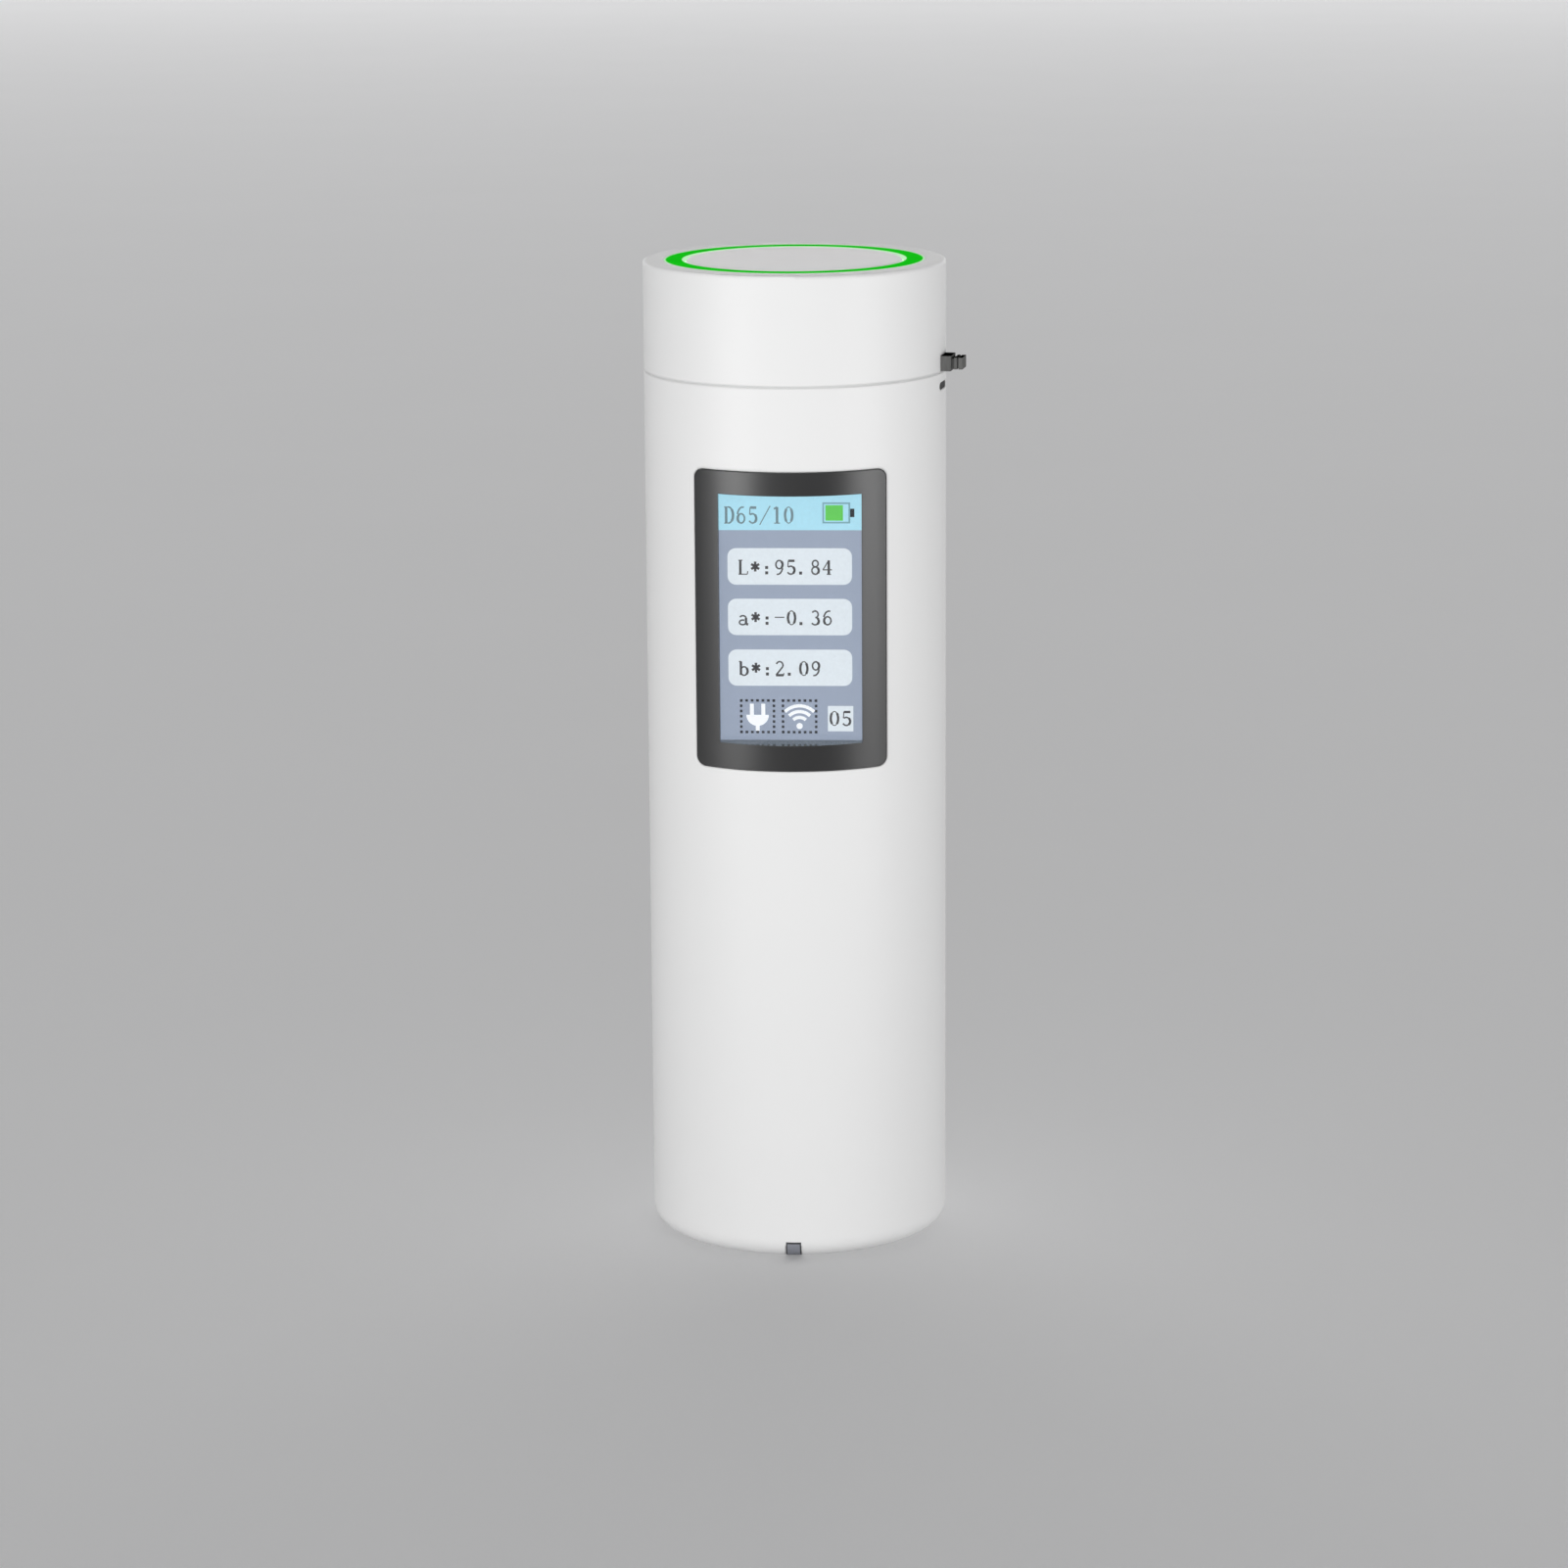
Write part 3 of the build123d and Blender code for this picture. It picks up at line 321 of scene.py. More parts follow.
def button_face(name):
    """Light grey satin plastic, paler in a thin line round its edge where the ring lights it."""
    material, tree, shader = new_material(name)
    radius = axis_distance(tree)
    edge = ranged(tree, radius, 0.0, 1.0, button_r - 0.18 * MM, button_r - 0.1 * MM)
    fine = noise(tree, 0.12 * MM, 4.0)
    face = mix_colours(tree, noise(tree, 6 * MM), (0.81, 0.797, 0.80, 1), (0.85, 0.837, 0.84, 1))
    looks = {
        "Base Color": mix_colours(tree, edge, face, (0.90, 0.96, 0.90, 1)),
        "Roughness": ranged(tree, fine, 0.36, 0.46),
        "Normal": bumped(tree, fine, 0.006 * MM, normal=rounded(tree, 0.12 * MM)),
        "Emission Color": mix_colours(tree, edge, (0, 0, 0, 1), (0.62, 0.95, 0.62, 1)),
        "Emission Strength": 0.6,
    }
    set_inputs(tree, shader, looks)
    return material


def glowing_ring(name):
    """Green light guide that glows, with a thin pale painted highlight at each edge of its top."""
    material, tree, shader = new_material(name)
    radius = axis_distance(tree)
    # The pale lines at both edges are painted highlights, mixed into the glow by distance from the axis
    outer_edge = ranged(tree, radius, 0.0, 1.0, ring_r - 0.22 * MM, ring_r - 0.08 * MM)
    inner_edge = ranged(tree, radius, 1.0, 0.0, ring_inner_r + 0.02 * MM, ring_inner_r + 0.12 * MM)
    painted_edge_highlights = add(tree, "ShaderNodeMath", {0: outer_edge, 1: inner_edge}, operation="MAXIMUM").outputs[0]
    drift = noise(tree, 3 * MM, 2.0)
    green = mix_colours(tree, drift, (0.004, 0.47, 0.006, 1), (0.008, 0.58, 0.01, 1))
    looks = {
        "Base Color": mix_colours(tree, drift, (0.004, 0.16, 0.005, 1), (0.005, 0.20, 0.006, 1)),
        "Emission Color": mix_colours(tree, painted_edge_highlights, green, (0.62, 0.92, 0.62, 1)),
        "Emission Strength": 0.8,
        "Roughness": 0.55,
        "Specular IOR Level": 0.0,
    }
    set_inputs(tree, shader, looks)
    return material


white_shell = plastic("white_shell", (0.84, 0.84, 0.838), 0.46, 0.16 * MM, 0.004 * MM, 0.008, 0.4 * MM, 0.5)
# The last colour is the sill's painted reflection of the display
frame_plastic = frame_finish("frame_plastic", (0.003, 0.003, 0.0035), 0.37, 0.06, (0.115, 0.14, 0.132, 1))
inner_black = plastic("inner_black", (0.02, 0.02, 0.022), 0.55, 0.2 * MM, 0.01 * MM, 0.1)
base_black = plastic("base_black", (0.03, 0.03, 0.032), 0.5, 0.25 * MM, 0.02 * MM, 0.08, 0.2 * MM)
# The black is painted shade on the stud's level top faces
stud_plastic = dark_on_top("stud_plastic", (0.15, 0.15, 0.147), (0.002, 0.002, 0.002, 1))
mark_plastic = plastic("mark_plastic", (0.24, 0.25, 0.285), 0.5, 0.12 * MM, 0.006 * MM, 0.06, 0.01 * MM)
off_white = plastic("off_white", (0.72, 0.69, 0.62), 0.45, 0.15 * MM, 0.005 * MM)
chip_resin = plastic("chip_resin", (0.018, 0.018, 0.02), 0.6, 0.08 * MM, 0.01 * MM, 0.15, 0.05 * MM)
amber_film = plastic("amber_film", (0.50, 0.24, 0.03), 0.3, 0.3 * MM, 0.004 * MM, 0.1, 0.02 * MM)
lamp_dome = plastic("lamp_dome", (0.88, 0.84, 0.62), 0.25, 0.2 * MM, 0.003 * MM, 0.06, 0.1 * MM)
screw_steel = metal("screw_steel", (0.52, 0.52, 0.53), 0.32, (1, 1, 1))
can_steel = metal("can_steel", (0.62, 0.62, 0.61), 0.3, (1, 1, 12))
nickel_strip = metal("nickel_strip", (0.66, 0.63, 0.58), 0.28, (1, 12, 1))
soft_rubber = rubber("soft_rubber", (0.05, 0.05, 0.052))
solder_mask = circuit("solder_mask")
sphere_lining = chalky_lining("sphere_lining")
display_cover = clear_cover("display_cover")
cell_wrap = wrapped_cell("cell_wrap")
button_plastic = button_face("button_plastic")
ring_glow = glowing_ring("ring_glow")
# Painted shade of the gap round the index mark
mark_gap_shade = plastic("mark_gap_shade", (0.05, 0.052, 0.056), 0.5, 0.12 * MM, 0.006 * MM, 0.06, 0.01 * MM)
seam_grey = plastic("seam_grey", (0.79, 0.79, 0.79), 0.5, 0.2 * MM, 0.002 * MM, 0.02, 0.02 * MM)
# Black for the plate in the lanyard slot, which is painted shade
slot_black = plastic("slot_black", (0.006, 0.006, 0.007), 0.6, 0.1 * MM, 0.004 * MM, 0.1, 0.03 * MM)
display_field = lit("display_field", (0.323, 0.376, 0.479), 0.95)

finishes = {
    "body_shell": white_shell,
    "index_mark": mark_plastic,
    "head_shell": white_shell,
    "lanyard_stud": stud_plastic,
    "light_ring": ring_glow,
    "head_frame": inner_black,
    "switch_board": solder_mask,
    "head_screws": screw_steel,
    "ring_leds": lamp_dome,
    "tact_switch": inner_black,
    "switch_plunger": off_white,
    "measure_button": button_plastic,
    "button_boot": soft_rubber,
    "display_bezel": frame_plastic,
    "display_lens": display_cover,
    "display_panel": display_field,
    "display_cushion": soft_rubber,
    "display_flex": amber_film,
    "port_plate": base_black,
    "port_screws": screw_steel,
    "sphere_lower": sphere_lining,
    "sphere_upper": sphere_lining,
    "flange_screws": screw_steel,
    "illumination_board": solder_mask,
    "illumination_leds": lamp_dome,
    "sensor_tube": inner_black,
    "focus_lens": display_cover,
    "sensor_board": solder_mask,
    "spectral_sensor": chip_resin,
    "chassis": inner_black,
    "main_board": solder_mask,
    "board_screws": screw_steel,
    "board_chips": chip_resin,
    "wireless_module": can_steel,
    "display_connector": off_white,
    "battery_cell": cell_wrap,
    "battery_tabs": nickel_strip,
    "usb_board": solder_mask,
    "usb_screws": screw_steel,
    "usb_socket": can_steel,
}

for name, material in finishes.items():
    nodes[name].data.materials.clear()
    nodes[name].data.materials.append(material)


def join_loops(bm, first, second):
    """Faces between two closed loops with the same number of points."""
    ends = list(range(1, len(first))) + [0]
    return [bm.faces.new((first[j], first[k], second[k], second[j])) for j, k in enumerate(ends)]


def plate(bm, back, front):
    """A closed plate between two outlines with the same number of points."""
    bm.faces.new(back)
    bm.faces.new(front)
    join_loops(bm, back, front)


def new_object(name, bm, materials):
    """Puts a mesh in the scene with its materials."""
    mesh = bpy.data.meshes.new(name)
    bm.to_mesh(mesh)
    bm.free()
    made = bpy.data.objects.new(name, mesh)
    for material in materials:
        made.data.materials.append(material)
    bpy.context.scene.collection.objects.link(made)
    return made


def finished_piece(name, bm, materials):
    """Puts a mesh in the scene as a piece that rides on the case."""
    bmesh.ops.recalc_face_normals(bm, faces=bm.faces)
    piece = new_object(name, bm, materials)
    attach(piece, "case")
    return piece


# Display picture: thin layers just in front of the panel. Sizes are in millimetres on its face.

header_colour = lit("display_header", (0.42, 0.75, 0.885), 0.95)
label_ink = lit("display_label_ink", (0.17, 0.25, 0.28), 0.9)
box_white = lit("display_box", (0.725, 0.785, 0.83), 0.98)
digit_ink = lit("display_digit_ink", (0.055, 0.055, 0.06), 0.9)
icon_ink = lit("display_icon_ink", (0.02, 0.022, 0.03), 0.9)
icon_white = lit("display_icon_white", (0.93, 0.95, 0.98), 0.98)
charge_green = lit("display_charge", (0.12, 0.60, 0.09), 0.95)
charge_rim = lit("display_charge_rim", (0.20, 0.40, 0.47), 0.9)

layer_step = 0.012 * MM
layer_thickness = 0.006 * MM


def flat_piece(name, outlines, layer, material):
    """Thin plates on the display's face, each outline a loop of (x, z) points in millimetres."""
    bm = bmesh.new()
    back_y = panel_face - layer * layer_step
    for outline in outlines:
        back = [bm.verts.new((x * MM, back_y, z * MM)) for x, z in outline]
        front = [bm.verts.new((x * MM, back_y - layer_thickness, z * MM)) for x, z in outline]
        plate(bm, back, front)
    return finished_piece(name, bm, [material])


def rectangle(x0, x1, z0, z1):
    """Outline of a rectangle."""
    return [(x0, z0), (x1, z0), (x1, z1), (x0, z1)]


def bowl(x, z, rx, rz, start, end, steps=12):
    """Points along an oval's arc, with angles in degrees."""
    angles = [radians(start + (end - start) * i / steps) for i in range(steps + 1)]
    return [(x + rx * cos(a), z + rz * sin(a)) for a in angles]


def arc(x, z, radius, start, end, steps=6):
    """Points along a round arc."""
    return bowl(x, z, radius, radius, start, end, steps)


def rounded_rectangle(x0, x1, z0, z1, radius):
    """Outline of a rectangle with round corners."""
    return (
        arc(x1 - radius, z0 + radius, radius, -90, 0)
        + arc(x1 - radius, z1 - radius, radius, 0, 90)
        + arc(x0 + radius, z1 - radius, radius, 90, 180)
        + arc(x0 + radius, z0 + radius, radius, 180, 270)
    )


def stroke(points, width):
    """Outlines of a pen stroke of that width along a line of points."""
    outlines = []
    for (x0, z0), (x1, z1) in zip(points, points[1:]):
        length = sqrt((x1 - x0) ** 2 + (z1 - z0) ** 2)
        side_x = -(z1 - z0) / length * width / 2
        side_z = (x1 - x0) / length * width / 2
        one_side = [(x0 + side_x, z0 + side_z), (x1 + side_x, z1 + side_z)]
        outlines.append(one_side + [(x1 - side_x, z1 - side_z), (x0 - side_x, z0 - side_z)])
    return outlines


# Characters in a cell one unit wide and two units high, each drawn with a few pen strokes.
# A number after the points is the pen's width as a share of the normal one.

THIN = 0.65
BOLD = 1.5
DOT = 1.8


def oval(x, z, rx, rz):
    """A closed oval, heavier on its sides than at its top and bottom."""
    sides = [(bowl(x, z, rx, rz, 50, -50), BOLD), (bowl(x, z, rx, rz, 130, 230), BOLD)]
    return sides + [(bowl(x, z, rx, rz, 50, 130), THIN), (bowl(x, z, rx, rz, 230, 310), THIN)]


def star_strokes():
    """A six-pointed star at the middle of the cell."""
    arms = [(cos(radians(a)), sin(radians(a))) for a in (30, 90, 150)]
    return [([(0.5 - 0.38 * x, 0.82 - 0.5 * z), (0.5 + 0.38 * x, 0.82 + 0.5 * z)], BOLD) for x, z in arms]


GLYPHS = {
    "0": oval(0.5, 0.75, 0.30, 0.70),
    "1": [
        ([(0.52, 0.05), (0.52, 1.45)], BOLD),
        ([(0.26, 1.28), (0.52, 1.45)], 1),
        ([(0.28, 0.05), (0.76, 0.05)], THIN),
    ],
    "2": [
        (bowl(0.48, 1.07, 0.28, 0.38, 160, -20), 1),
        ([(0.745, 0.94), (0.18, 0.08)], 1),
        ([(0.16, 0.07), (0.80, 0.07)], BOLD),
        ([(0.80, 0.05), (0.83, 0.28)], THIN),
    ],
    "3": [
        (bowl(0.46, 1.10, 0.26, 0.35, 150, -60), 1),
        (bowl(0.46, 0.42, 0.31, 0.38, 85, -150), 1),
        (bowl(0.46, 0.42, 0.31, 0.38, 50, -50), BOLD),
    ],
    "4": [
        ([(0.62, 0.05), (0.62, 1.45)], BOLD),
        ([(0.62, 1.45), (0.13, 0.50), (0.88, 0.50)], THIN),
        ([(0.45, 0.05), (0.80, 0.05)], THIN),
    ],
    "5": [
        ([(0.78, 1.40), (0.26, 1.40)], BOLD),
        ([(0.26, 1.42), (0.22, 0.78)], THIN),
        (bowl(0.46, 0.46, 0.31, 0.41, 130, -150), 1),
        (bowl(0.46, 0.46, 0.31, 0.41, 50, -50), BOLD),
    ],
    "6": [
        (bowl(0.62, 0.62, 0.44, 0.82, 75, 165), 1),
        (bowl(0.50, 0.46, 0.29, 0.41, 0, 360, 20), 1),
        (bowl(0.50, 0.46, 0.29, 0.41, 130, 230), BOLD),
    ],
    "8": [
        (bowl(0.50, 1.12, 0.24, 0.33, 0, 360, 20), 1),
        (bowl(0.50, 0.42, 0.29, 0.37, 0, 360, 20), 1),
        (bowl(0.50, 0.42, 0.29, 0.37, 45, -45), BOLD),
    ],
    "9": [
        (bowl(0.50, 1.02, 0.28, 0.42, 0, 360, 20), 1),
        (bowl(0.50, 1.02, 0.28, 0.42, 50, -50), BOLD),
        (bowl(0.36, 0.88, 0.43, 0.84, -15, -100), 1),
    ],
    "D": [
        ([(0.24, 0.05), (0.24, 1.45)], BOLD),
        ([(0.08, 1.45), (0.46, 1.45)], THIN),
        ([(0.08, 0.05), (0.46, 0.05)], THIN),
        (bowl(0.44, 0.75, 0.38, 0.70, 90, -90, 16), 1),
        (bowl(0.44, 0.75, 0.38, 0.70, 45, -45), BOLD),
    ],
    "L": [
        ([(0.26, 0.05), (0.26, 1.45)], BOLD),
        ([(0.10, 1.45), (0.44, 1.45)], THIN),
        ([(0.10, 0.05), (0.84, 0.05), (0.88, 0.36)], THIN),
    ],
    "a": [
        (bowl(0.44, 0.72, 0.26, 0.24, 160, 10), 1),
        ([(0.70, 0.76), (0.70, 0.12), (0.88, 0.07)], BOLD),
        (bowl(0.42, 0.28, 0.28, 0.24, 60, 340, 16), 1),
    ],
    "b": [
        ([(0.24, 0.08), (0.24, 1.45)], BOLD),
        ([(0.08, 1.45), (0.26, 1.45)], THIN),
        (bowl(0.50, 0.48, 0.30, 0.44, 150, -150, 18), 1),
        (bowl(0.50, 0.48, 0.30, 0.44, 45, -45), BOLD),
    ],
    "/": [([(0.06, -0.10), (0.94, 1.55)], THIN)],
    "-": [([(0.10, 0.80), (0.90, 0.80)], THIN)],
    ".": [([(0.28, 0.02), (0.28, 0.32)], DOT)],
    ":": [([(0.45, 0.04), (0.45, 0.34)], DOT), ([(0.45, 0.58), (0.45, 0.88)], DOT)],
    "*": star_strokes(),
}


def line_of_text(text, x, z, pitch, height, pen):
    """Outlines of a line of characters. x and z are its lower left corner, pitch is the cell's width."""
    outlines = []
    for place, letter in enumerate(text):
        for points, weight in GLYPHS[letter]:
            placed = [(x + (place + px) * pitch, z + pz / 1.5 * height) for px, pz in points]
            outlines += stroke(placed, pen * weight)
    return outlines


view_left = -7.5
view_right = 7.5
view_top = 79.95
header_bottom = 75.96
under_frame = 0.6

title_left = -6.78
title_low = 76.62
title_pitch = 1.2
title_height = 1.76
title_pen = 0.17

row_left = -6.40
row_right = 6.18
row_height = 3.75
row_tops = (74.12, 68.93, 63.70)
row_radius = 0.85
row_texts = ("L*:95.84", "a*:-0.36", "b*:2.09")
text_inset = 0.98
text_rise = 1.03
digit_pitch = 1.215
digit_height = 1.53
digit_pen = 0.165

# The band reaches under the frame on three sides
header = rectangle(view_left - under_frame, view_right + under_frame, header_bottom, view_top + under_frame)
flat_piece("display_header_band", [header], 1, header_colour)
title = line_of_text("D65/10", title_left, title_low, title_pitch, title_height, title_pen)
flat_piece("display_title", title, 2, label_ink)

for number, (row_top, text) in enumerate(zip(row_tops, row_texts), start=1):
    row_low = row_top - row_height
    box = rounded_rectangle(row_left, row_right, row_low, row_top, row_radius)
    flat_piece(f"display_row_{number}", [box], 1, box_white)
    text_left, text_low = row_left + text_inset, row_low + text_rise
    written = line_of_text(text, text_left, text_low, digit_pitch, digit_height, digit_pen)
    flat_piece(f"display_value_{number}", written, 2, digit_ink)

# Battery sign
charge_left = 3.22
charge_right = 6.02
charge_low = 76.66
charge_high = 78.80
charge_level = 5.3
charge_gap_x = 0.3
charge_gap_z = 0.28
rim = 0.17
nub_low = 77.3
nub_high = 78.16
nub_width = 0.42
battery_case = rectangle(charge_left, charge_right, charge_low, charge_high)
battery_inside = rectangle(charge_left + rim, charge_right - rim, charge_low + rim, charge_high - rim)
battery_charge = rectangle(
    charge_left + charge_gap_x, charge_level, charge_low + charge_gap_z, charge_high - charge_gap_z
)
battery_nub = rectangle(charge_right, charge_right + nub_width, nub_low, nub_high)
flat_piece("display_battery_rim", [battery_case], 2, charge_rim)
flat_piece("display_battery_cell", [battery_inside], 3, header_colour)
flat_piece("display_battery_charge", [battery_charge], 4, charge_green)
flat_piece("display_battery_nub", [battery_nub], 2, icon_ink)


def dashed_square(x0, x1, z0, z1, dash, width):
    """Dashes round a square."""
    outlines = []
    along_x = (x1 - x0) / (2 * dash - 1)
    along_z = (z1 - z0) / (2 * dash - 1)
    for i in range(dash):
        x = x0 + 2 * i * along_x
        z = z0 + 2 * i * along_z
        outlines.append(rectangle(x, x + along_x, z0, z0 + width))
        outlines.append(rectangle(x, x + along_x, z1 - width, z1))
        outlines.append(rectangle(x0, x0 + width, z, z + along_z))
        outlines.append(rectangle(x1 - width, x1, z, z + along_z))
    return outlines


# Two plain signs in dashed squares: a plug for charging and waves for the wireless link.
sign_low = 55.02
sign_high = 58.55
plug_left, plug_right = -5.26, -1.68
wave_left, wave_right = -1.01, 2.61
dashes = 7
dash_width = 0.25
for name, left, right in (("plug", plug_left, plug_right), ("wave", wave_left, wave_right)):
    square = dashed_square(left, right, sign_low, sign_high, dashes, dash_width)
    flat_piece(f"display_{name}_square", square, 2, icon_ink)

plug_x = (plug_left + plug_right) / 2
plug_z = (sign_low + sign_high) / 2
plug_outlines = [
    arc(plug_x, plug_z + 0.15, 1.15, 180, 360, 14),
    rectangle(plug_x - 0.78, plug_x - 0.38, plug_z + 0.1, plug_z + 1.3),
    rectangle(plug_x + 0.38, plug_x + 0.78, plug_z + 0.1, plug_z + 1.3),
    rectangle(plug_x - 0.2, plug_x + 0.2, plug_z - 1.5, plug_z - 0.9),
]
flat_piece("display_plug_sign", plug_outlines, 2, icon_white)

wave_x = (wave_left + wave_right) / 2
wave_z = plug_z - 1.0
wave_outlines = [arc(wave_x, wave_z, 0.32, 0, 360, 16)[:-1]]
for wave_radius in (0.9, 1.5, 2.1):
    wave_outlines += stroke(arc(wave_x, wave_z, wave_radius, 45, 135, 10), 0.34)
flat_piece("display_wave_sign", wave_outlines, 2, icon_white)

# Number in the corner
corner_box = rectangle(3.68, 6.27, 55.24, 57.88)
corner_number = line_of_text("05", x=3.72, z=55.80, pitch=1.26, height=1.56, pen=0.16)
flat_piece("display_corner_box", [corner_box], 1, box_white)
flat_piece("display_corner_number", corner_number, 2, digit_ink)


# The boot and small trim on the case


def turned(profile, steps=160):
    """A closed ring turned round the axis from (radius, height) points."""
    bm = bmesh.new()
    loops = []
    for i in range(steps):
        a = 2 * pi * i / steps
        loops.append([bm.verts.new((r * cos(a), r * sin(a), z)) for r, z in profile])
    for loop, after in zip(loops, loops[1:] + loops[:1]):
        for face in join_loops(bm, loop, after):
            face.smooth = True
    return bm


# The silicone boot under the button, a soft cone
boot_wall = 0.5 * MM
boot_taper = 2.0 * MM
boot_bulge = 0.12 * MM
boot_steps = 12
boot_height = boot_high.z - boot_low.z
boot_outside = [
    (boot_high.x - boot_taper * t + boot_bulge * sin(pi * t), boot_low.z + boot_height * t)
    for t in [i / boot_steps for i in range(boot_steps + 1)]
]
boot_inside = [(r - boot_wall, z) for r, z in reversed(boot_outside)]
boot_skin = turned(boot_outside + boot_inside, 96)
boot = finished_piece("button_boot_skin", boot_skin, [soft_rubber])
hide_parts("button_boot")
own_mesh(boot)

# The thin pale ring that shows in the seam under the head
seam_height = 0.09 * MM
seam_outer_r = body_r - 0.01 * MM
seam_inner_r = body_r - 1.2 * MM
seam_chamfer = 0.03 * MM
seam_low_z = seam_z + 0.005 * MM
seam_profile = [
    (seam_inner_r, seam_low_z),
    (seam_outer_r - seam_chamfer, seam_low_z),
    (seam_outer_r, seam_low_z + seam_height / 2),
    (seam_outer_r - seam_chamfer, seam_low_z + seam_height),
    (seam_inner_r, seam_low_z + seam_height),
]
finished_piece("seam_ring", turned(seam_profile), [seam_grey])

# A black plate inside the lanyard slot: painted shade where the slot's hollow is dark
slot_angle = radians(80)
slot_middle_z = seam_z / MM - 1.4
slot_end_x = 1.18
slot_end_r = 0.36
slot_front = body_r - 0.12 * MM
slot_back = body_r - 0.8 * MM
bm = bmesh.new()
outline = arc(slot_end_x, slot_middle_z, slot_end_r, -90, 90, 8)
outline += arc(-slot_end_x, slot_middle_z, slot_end_r, 90, 270, 8)
side = Vector((cos(slot_angle), sin(slot_angle), 0))
outward = Vector((sin(slot_angle), -cos(slot_angle), 0))
across_slot = [side * (u * MM) + Vector((0, 0, z * MM)) for u, z in outline]
slot_rings = []
for depth in (slot_back, slot_front):
    slot_rings.append([bm.verts.new(point + outward * depth) for point in across_slot])
plate(bm, *slot_rings)
finished_piece("slot_shade_plate", bm, [slot_black])

# The index mark's face: a grey plate laid over the rounded foot, with a dark rim that is painted shade of the
# gap round the mark.
# Its angles run down the foot's rounding, in degrees.
mark_half_width = 0.78
mark_top_angle = 4.5
mark_bottom_angle = 72.0
mark_half_thickness = 0.03
foot_radius = 2.0
mark_steps = 12


def loop_round(rows):
    """The vertices round the edge of a grid, in order."""
    last, first = rows[-1][-2::-1], [row[0] for row in rows[-2:0:-1]]
    return rows[0] + [row[-1] for row in rows[1:]] + last + first


bm = bmesh.new()
sides = []
for lift in (mark_half_thickness, -mark_half_thickness):
    rows = []
    for i in range(mark_steps + 1):
        a = radians(mark_top_angle + (mark_bottom_angle - mark_top_angle) * i / mark_steps)
        r = body_r / MM - foot_radius + (foot_radius + lift) * cos(a)
        z = foot_radius - (foot_radius + lift) * sin(a)
        across = [mark_half_width * (2 * j / mark_steps - 1) / r for j in range(mark_steps + 1)]
        rows.append([bm.verts.new((r * sin(b) * MM, -r * cos(b) * MM, z * MM)) for b in across])
    sides.append(rows)
    for i in range(mark_steps):
        for j in range(mark_steps):
            face = bm.faces.new((rows[i][j], rows[i][j + 1], rows[i + 1][j + 1], rows[i + 1][j]))
            # The outer band and the edges take the painted gap shade
            face.material_index = int(i in (0, mark_steps - 1) or j in (0, mark_steps - 1))
for face in join_loops(bm, *[loop_round(rows) for rows in sides]):
    face.material_index = 1
finished_piece("mark_face", bm, [mark_plastic, mark_gap_shade])


# Camera, floor and lights

picture_side = 1601
focal_pixels = 4902.0
camera_distance = 0.490
camera_height = 0.157
camera_azimuth = radians(2.55)
camera_tilt = radians(12.65)
camera_yaw = radians(0.164)
camera_roll = radians(-0.38)

camera_data = bpy.data.cameras.new("camera")
camera_data.sensor_width = 36.0
camera_data.lens = focal_pixels * camera_data.sensor_width / picture_side
camera_data.clip_start = 0.01
camera = bpy.data.objects.new("camera", camera_data)
bpy.context.scene.collection.objects.link(camera)
camera.matrix_world = (
    Matrix.Translation(
        (camera_distance * sin(camera_azimuth), -camera_distance * cos(camera_azimuth), camera_height)
    )
    @ Matrix.Rotation(camera_azimuth + camera_yaw, 4, "Z")
    @ Matrix.Rotation(pi / 2 - camera_tilt, 4, "X")
    @ Matrix.Rotation(camera_roll, 4, "Z")
)
bpy.context.scene.camera = camera


def floor_paper(name):
    """Pale paper with faint fibres and a little light of its own."""
    material, tree, shader = new_material(name)
    looks = {
        "Base Color": mix_colours(tree, noise(tree, 60 * MM), (0.73, 0.73, 0.74, 1), (0.76, 0.76, 0.77, 1)),
        "Normal": bumped(tree, noise(tree, 0.6 * MM, 4.0), 0.02 * MM),
        "Roughness": 0.85,
        "Specular IOR Level": 0.2,
        "Emission Color": (1, 1, 1, 1),
        "Emission Strength": 0.20,
    }
    set_inputs(tree, shader, looks)
    return material


def pale_floor():
    """Plain pale floor that curves up far away, so that it fills the picture from low angles too."""
    bm = bmesh.new()
    flat_r = 3.4
    curve_r = 1.6
    steps = 72
    profile = [(0.5, 0.0), (2.0, 0.0), (flat_r, 0.0)]
    profile += [
        (flat_r + curve_r * sin(radians(a)), curve_r - curve_r * cos(radians(a))) for a in range(10, 81, 10)
    ]
    around = [2 * pi * k / steps for k in range(steps)]
    rings = [[bm.verts.new((r * cos(a), r * sin(a), z)) for a in around] for r, z in profile]
    bm.faces.new(rings[0])
    for inner, outer in zip(rings, rings[1:]):
        for face in join_loops(bm, outer, inner):
            face.smooth = True
    floor = new_object("floor", bm, [floor_paper("floor_paper")])
    floor.location = (0, 0, -0.02 * MM)


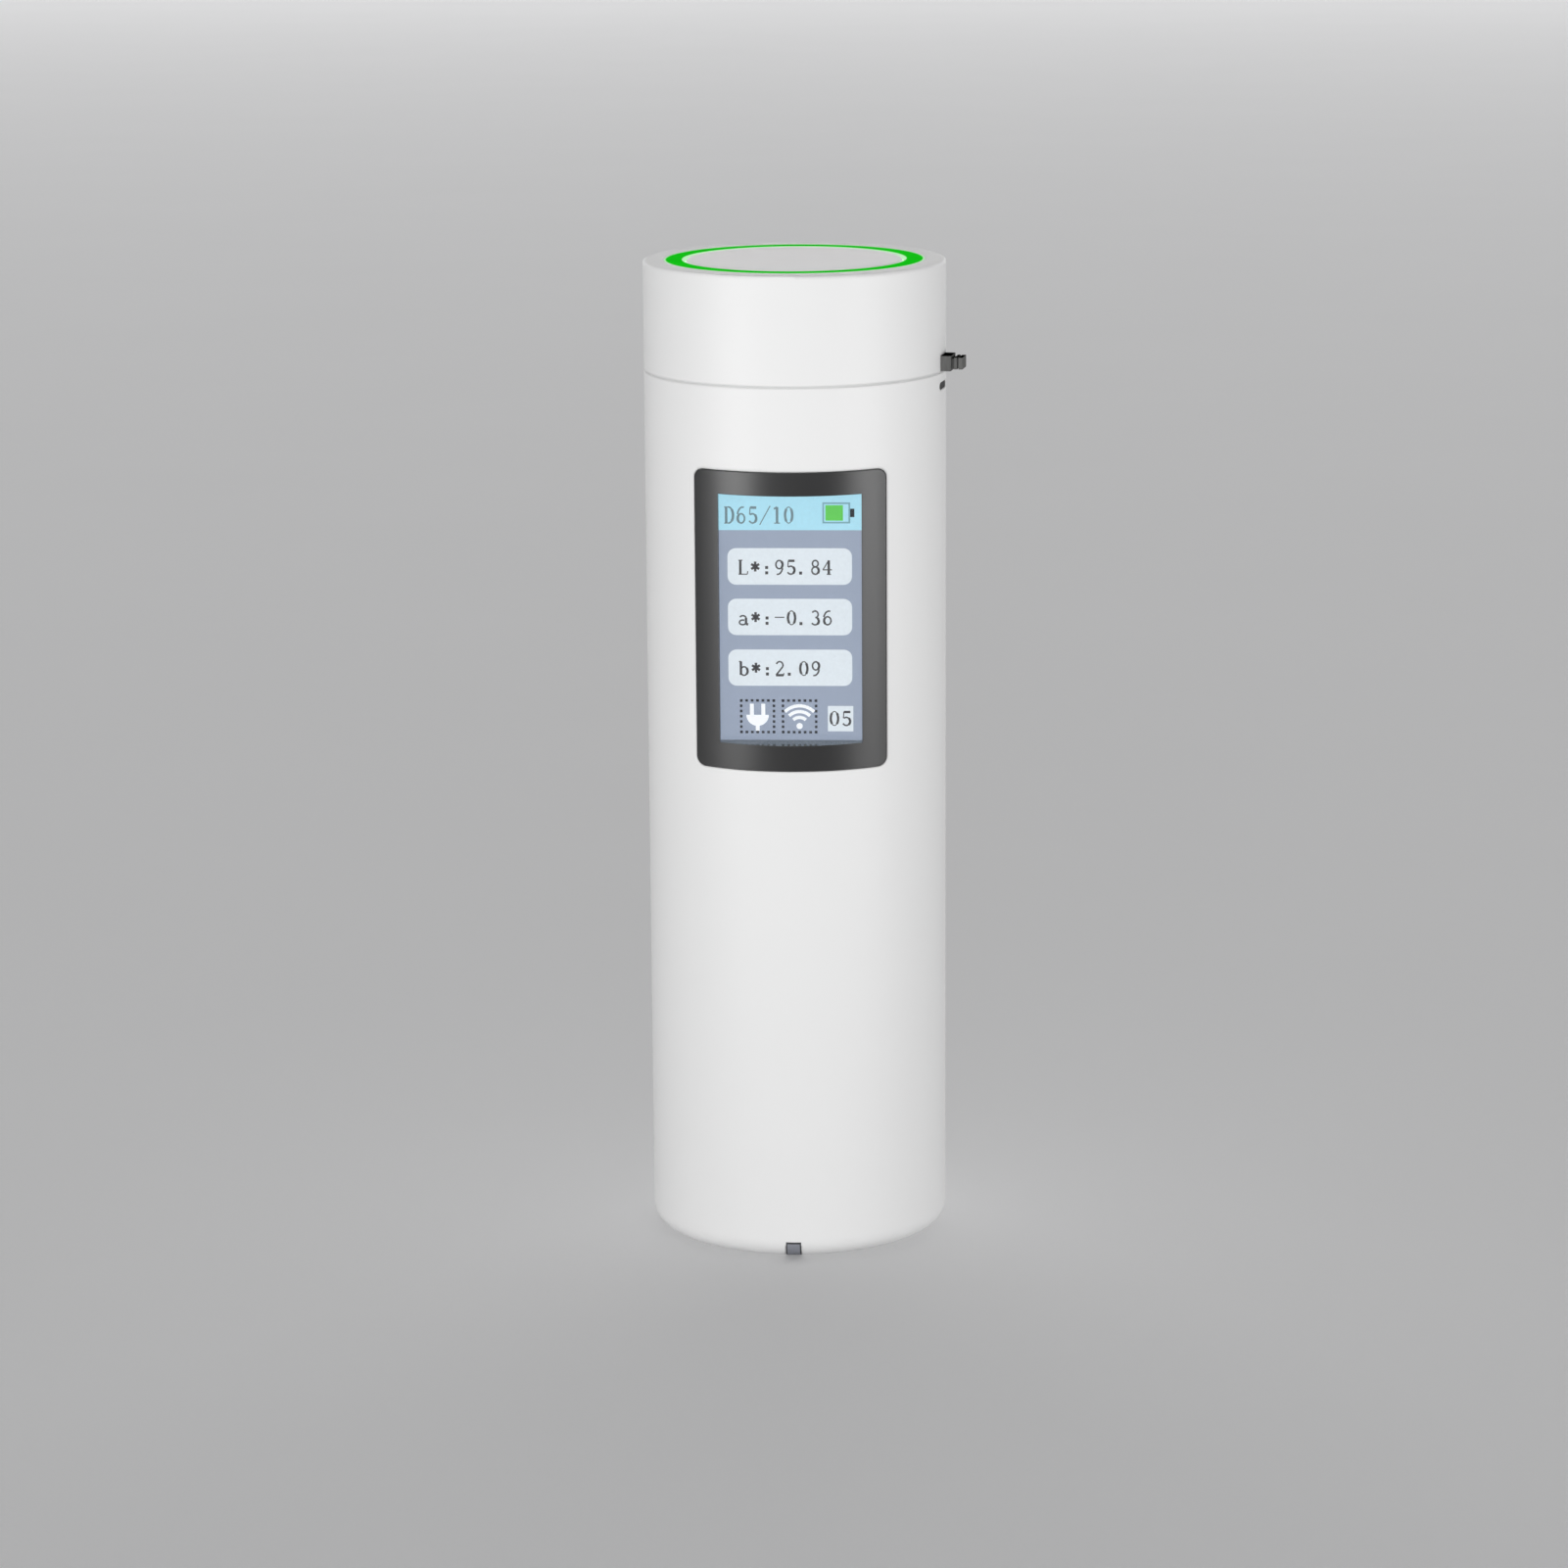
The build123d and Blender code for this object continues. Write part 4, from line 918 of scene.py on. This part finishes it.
lit_object = bpy.data.collections.new("lit_object")
for piece in bpy.context.scene.objects:
    if piece.type == "MESH":
        lit_object.objects.link(piece)


def soft_light(name, azimuth, elevation, distance, width, height, power, floor_too=False):
    """Rectangular soft box that faces the middle of the object. Azimuth 0 is in front, 90 on the right.

    The floor is left out of the near ones, so they leave no pools of light on it.
    """
    target = Vector((0, 0, top / 2))
    a, e = radians(azimuth), radians(elevation)
    data = bpy.data.lights.new(name, "AREA")
    data.shape = "RECTANGLE"
    data.size = width
    data.size_y = height
    data.energy = power
    light = bpy.data.objects.new(name, data)
    light.location = target + distance * Vector((sin(a) * cos(e), -cos(a) * cos(e), sin(e)))
    light.rotation_euler = (target - light.location).to_track_quat("-Z", "Y").to_euler()
    light.visible_camera = False
    if not floor_too:
        light.light_linking.receiver_collection = lit_object
    bpy.context.scene.collection.objects.link(light)


def broad_light(name, azimuth, elevation, strength, spread):
    """Even light from a wide source far away, which lights the whole floor alike."""
    a, e = radians(azimuth), radians(elevation)
    data = bpy.data.lights.new(name, "SUN")
    data.energy = strength
    data.angle = radians(spread)
    light = bpy.data.objects.new(name, data)
    towards = Vector((-sin(a) * cos(e), cos(a) * cos(e), -sin(e)))
    light.rotation_euler = towards.to_track_quat("-Z", "Y").to_euler()
    bpy.context.scene.collection.objects.link(light)


# Name, azimuth, elevation, distance, width, height, power
side_box = (0.26, 0.12, 0.115)
soft_light("front_light", -4, 31, 0.55, 0.22, 0.22, 1.07)
soft_light("left_light", -43, 5, *side_box, 0.233)
soft_light("right_light", 57, 3, *side_box, 0.182)
soft_light("edge_light", 88, 5, *side_box, 0.06)
soft_light("back_light", 180, 13, 3.2, 4.8, 1.4, 32.0, floor_too=True)
broad_light("floor_light", 180, 68, 0.48, 60)

pale_floor()

world = bpy.data.worlds.new("studio")
world.use_nodes = True
world.node_tree.nodes["Background"].inputs["Color"].default_value = (0.955, 0.955, 0.96, 1)
world.node_tree.nodes["Background"].inputs["Strength"].default_value = 0.08
bpy.context.scene.world = world
bpy.context.scene.view_settings.view_transform = "Standard"
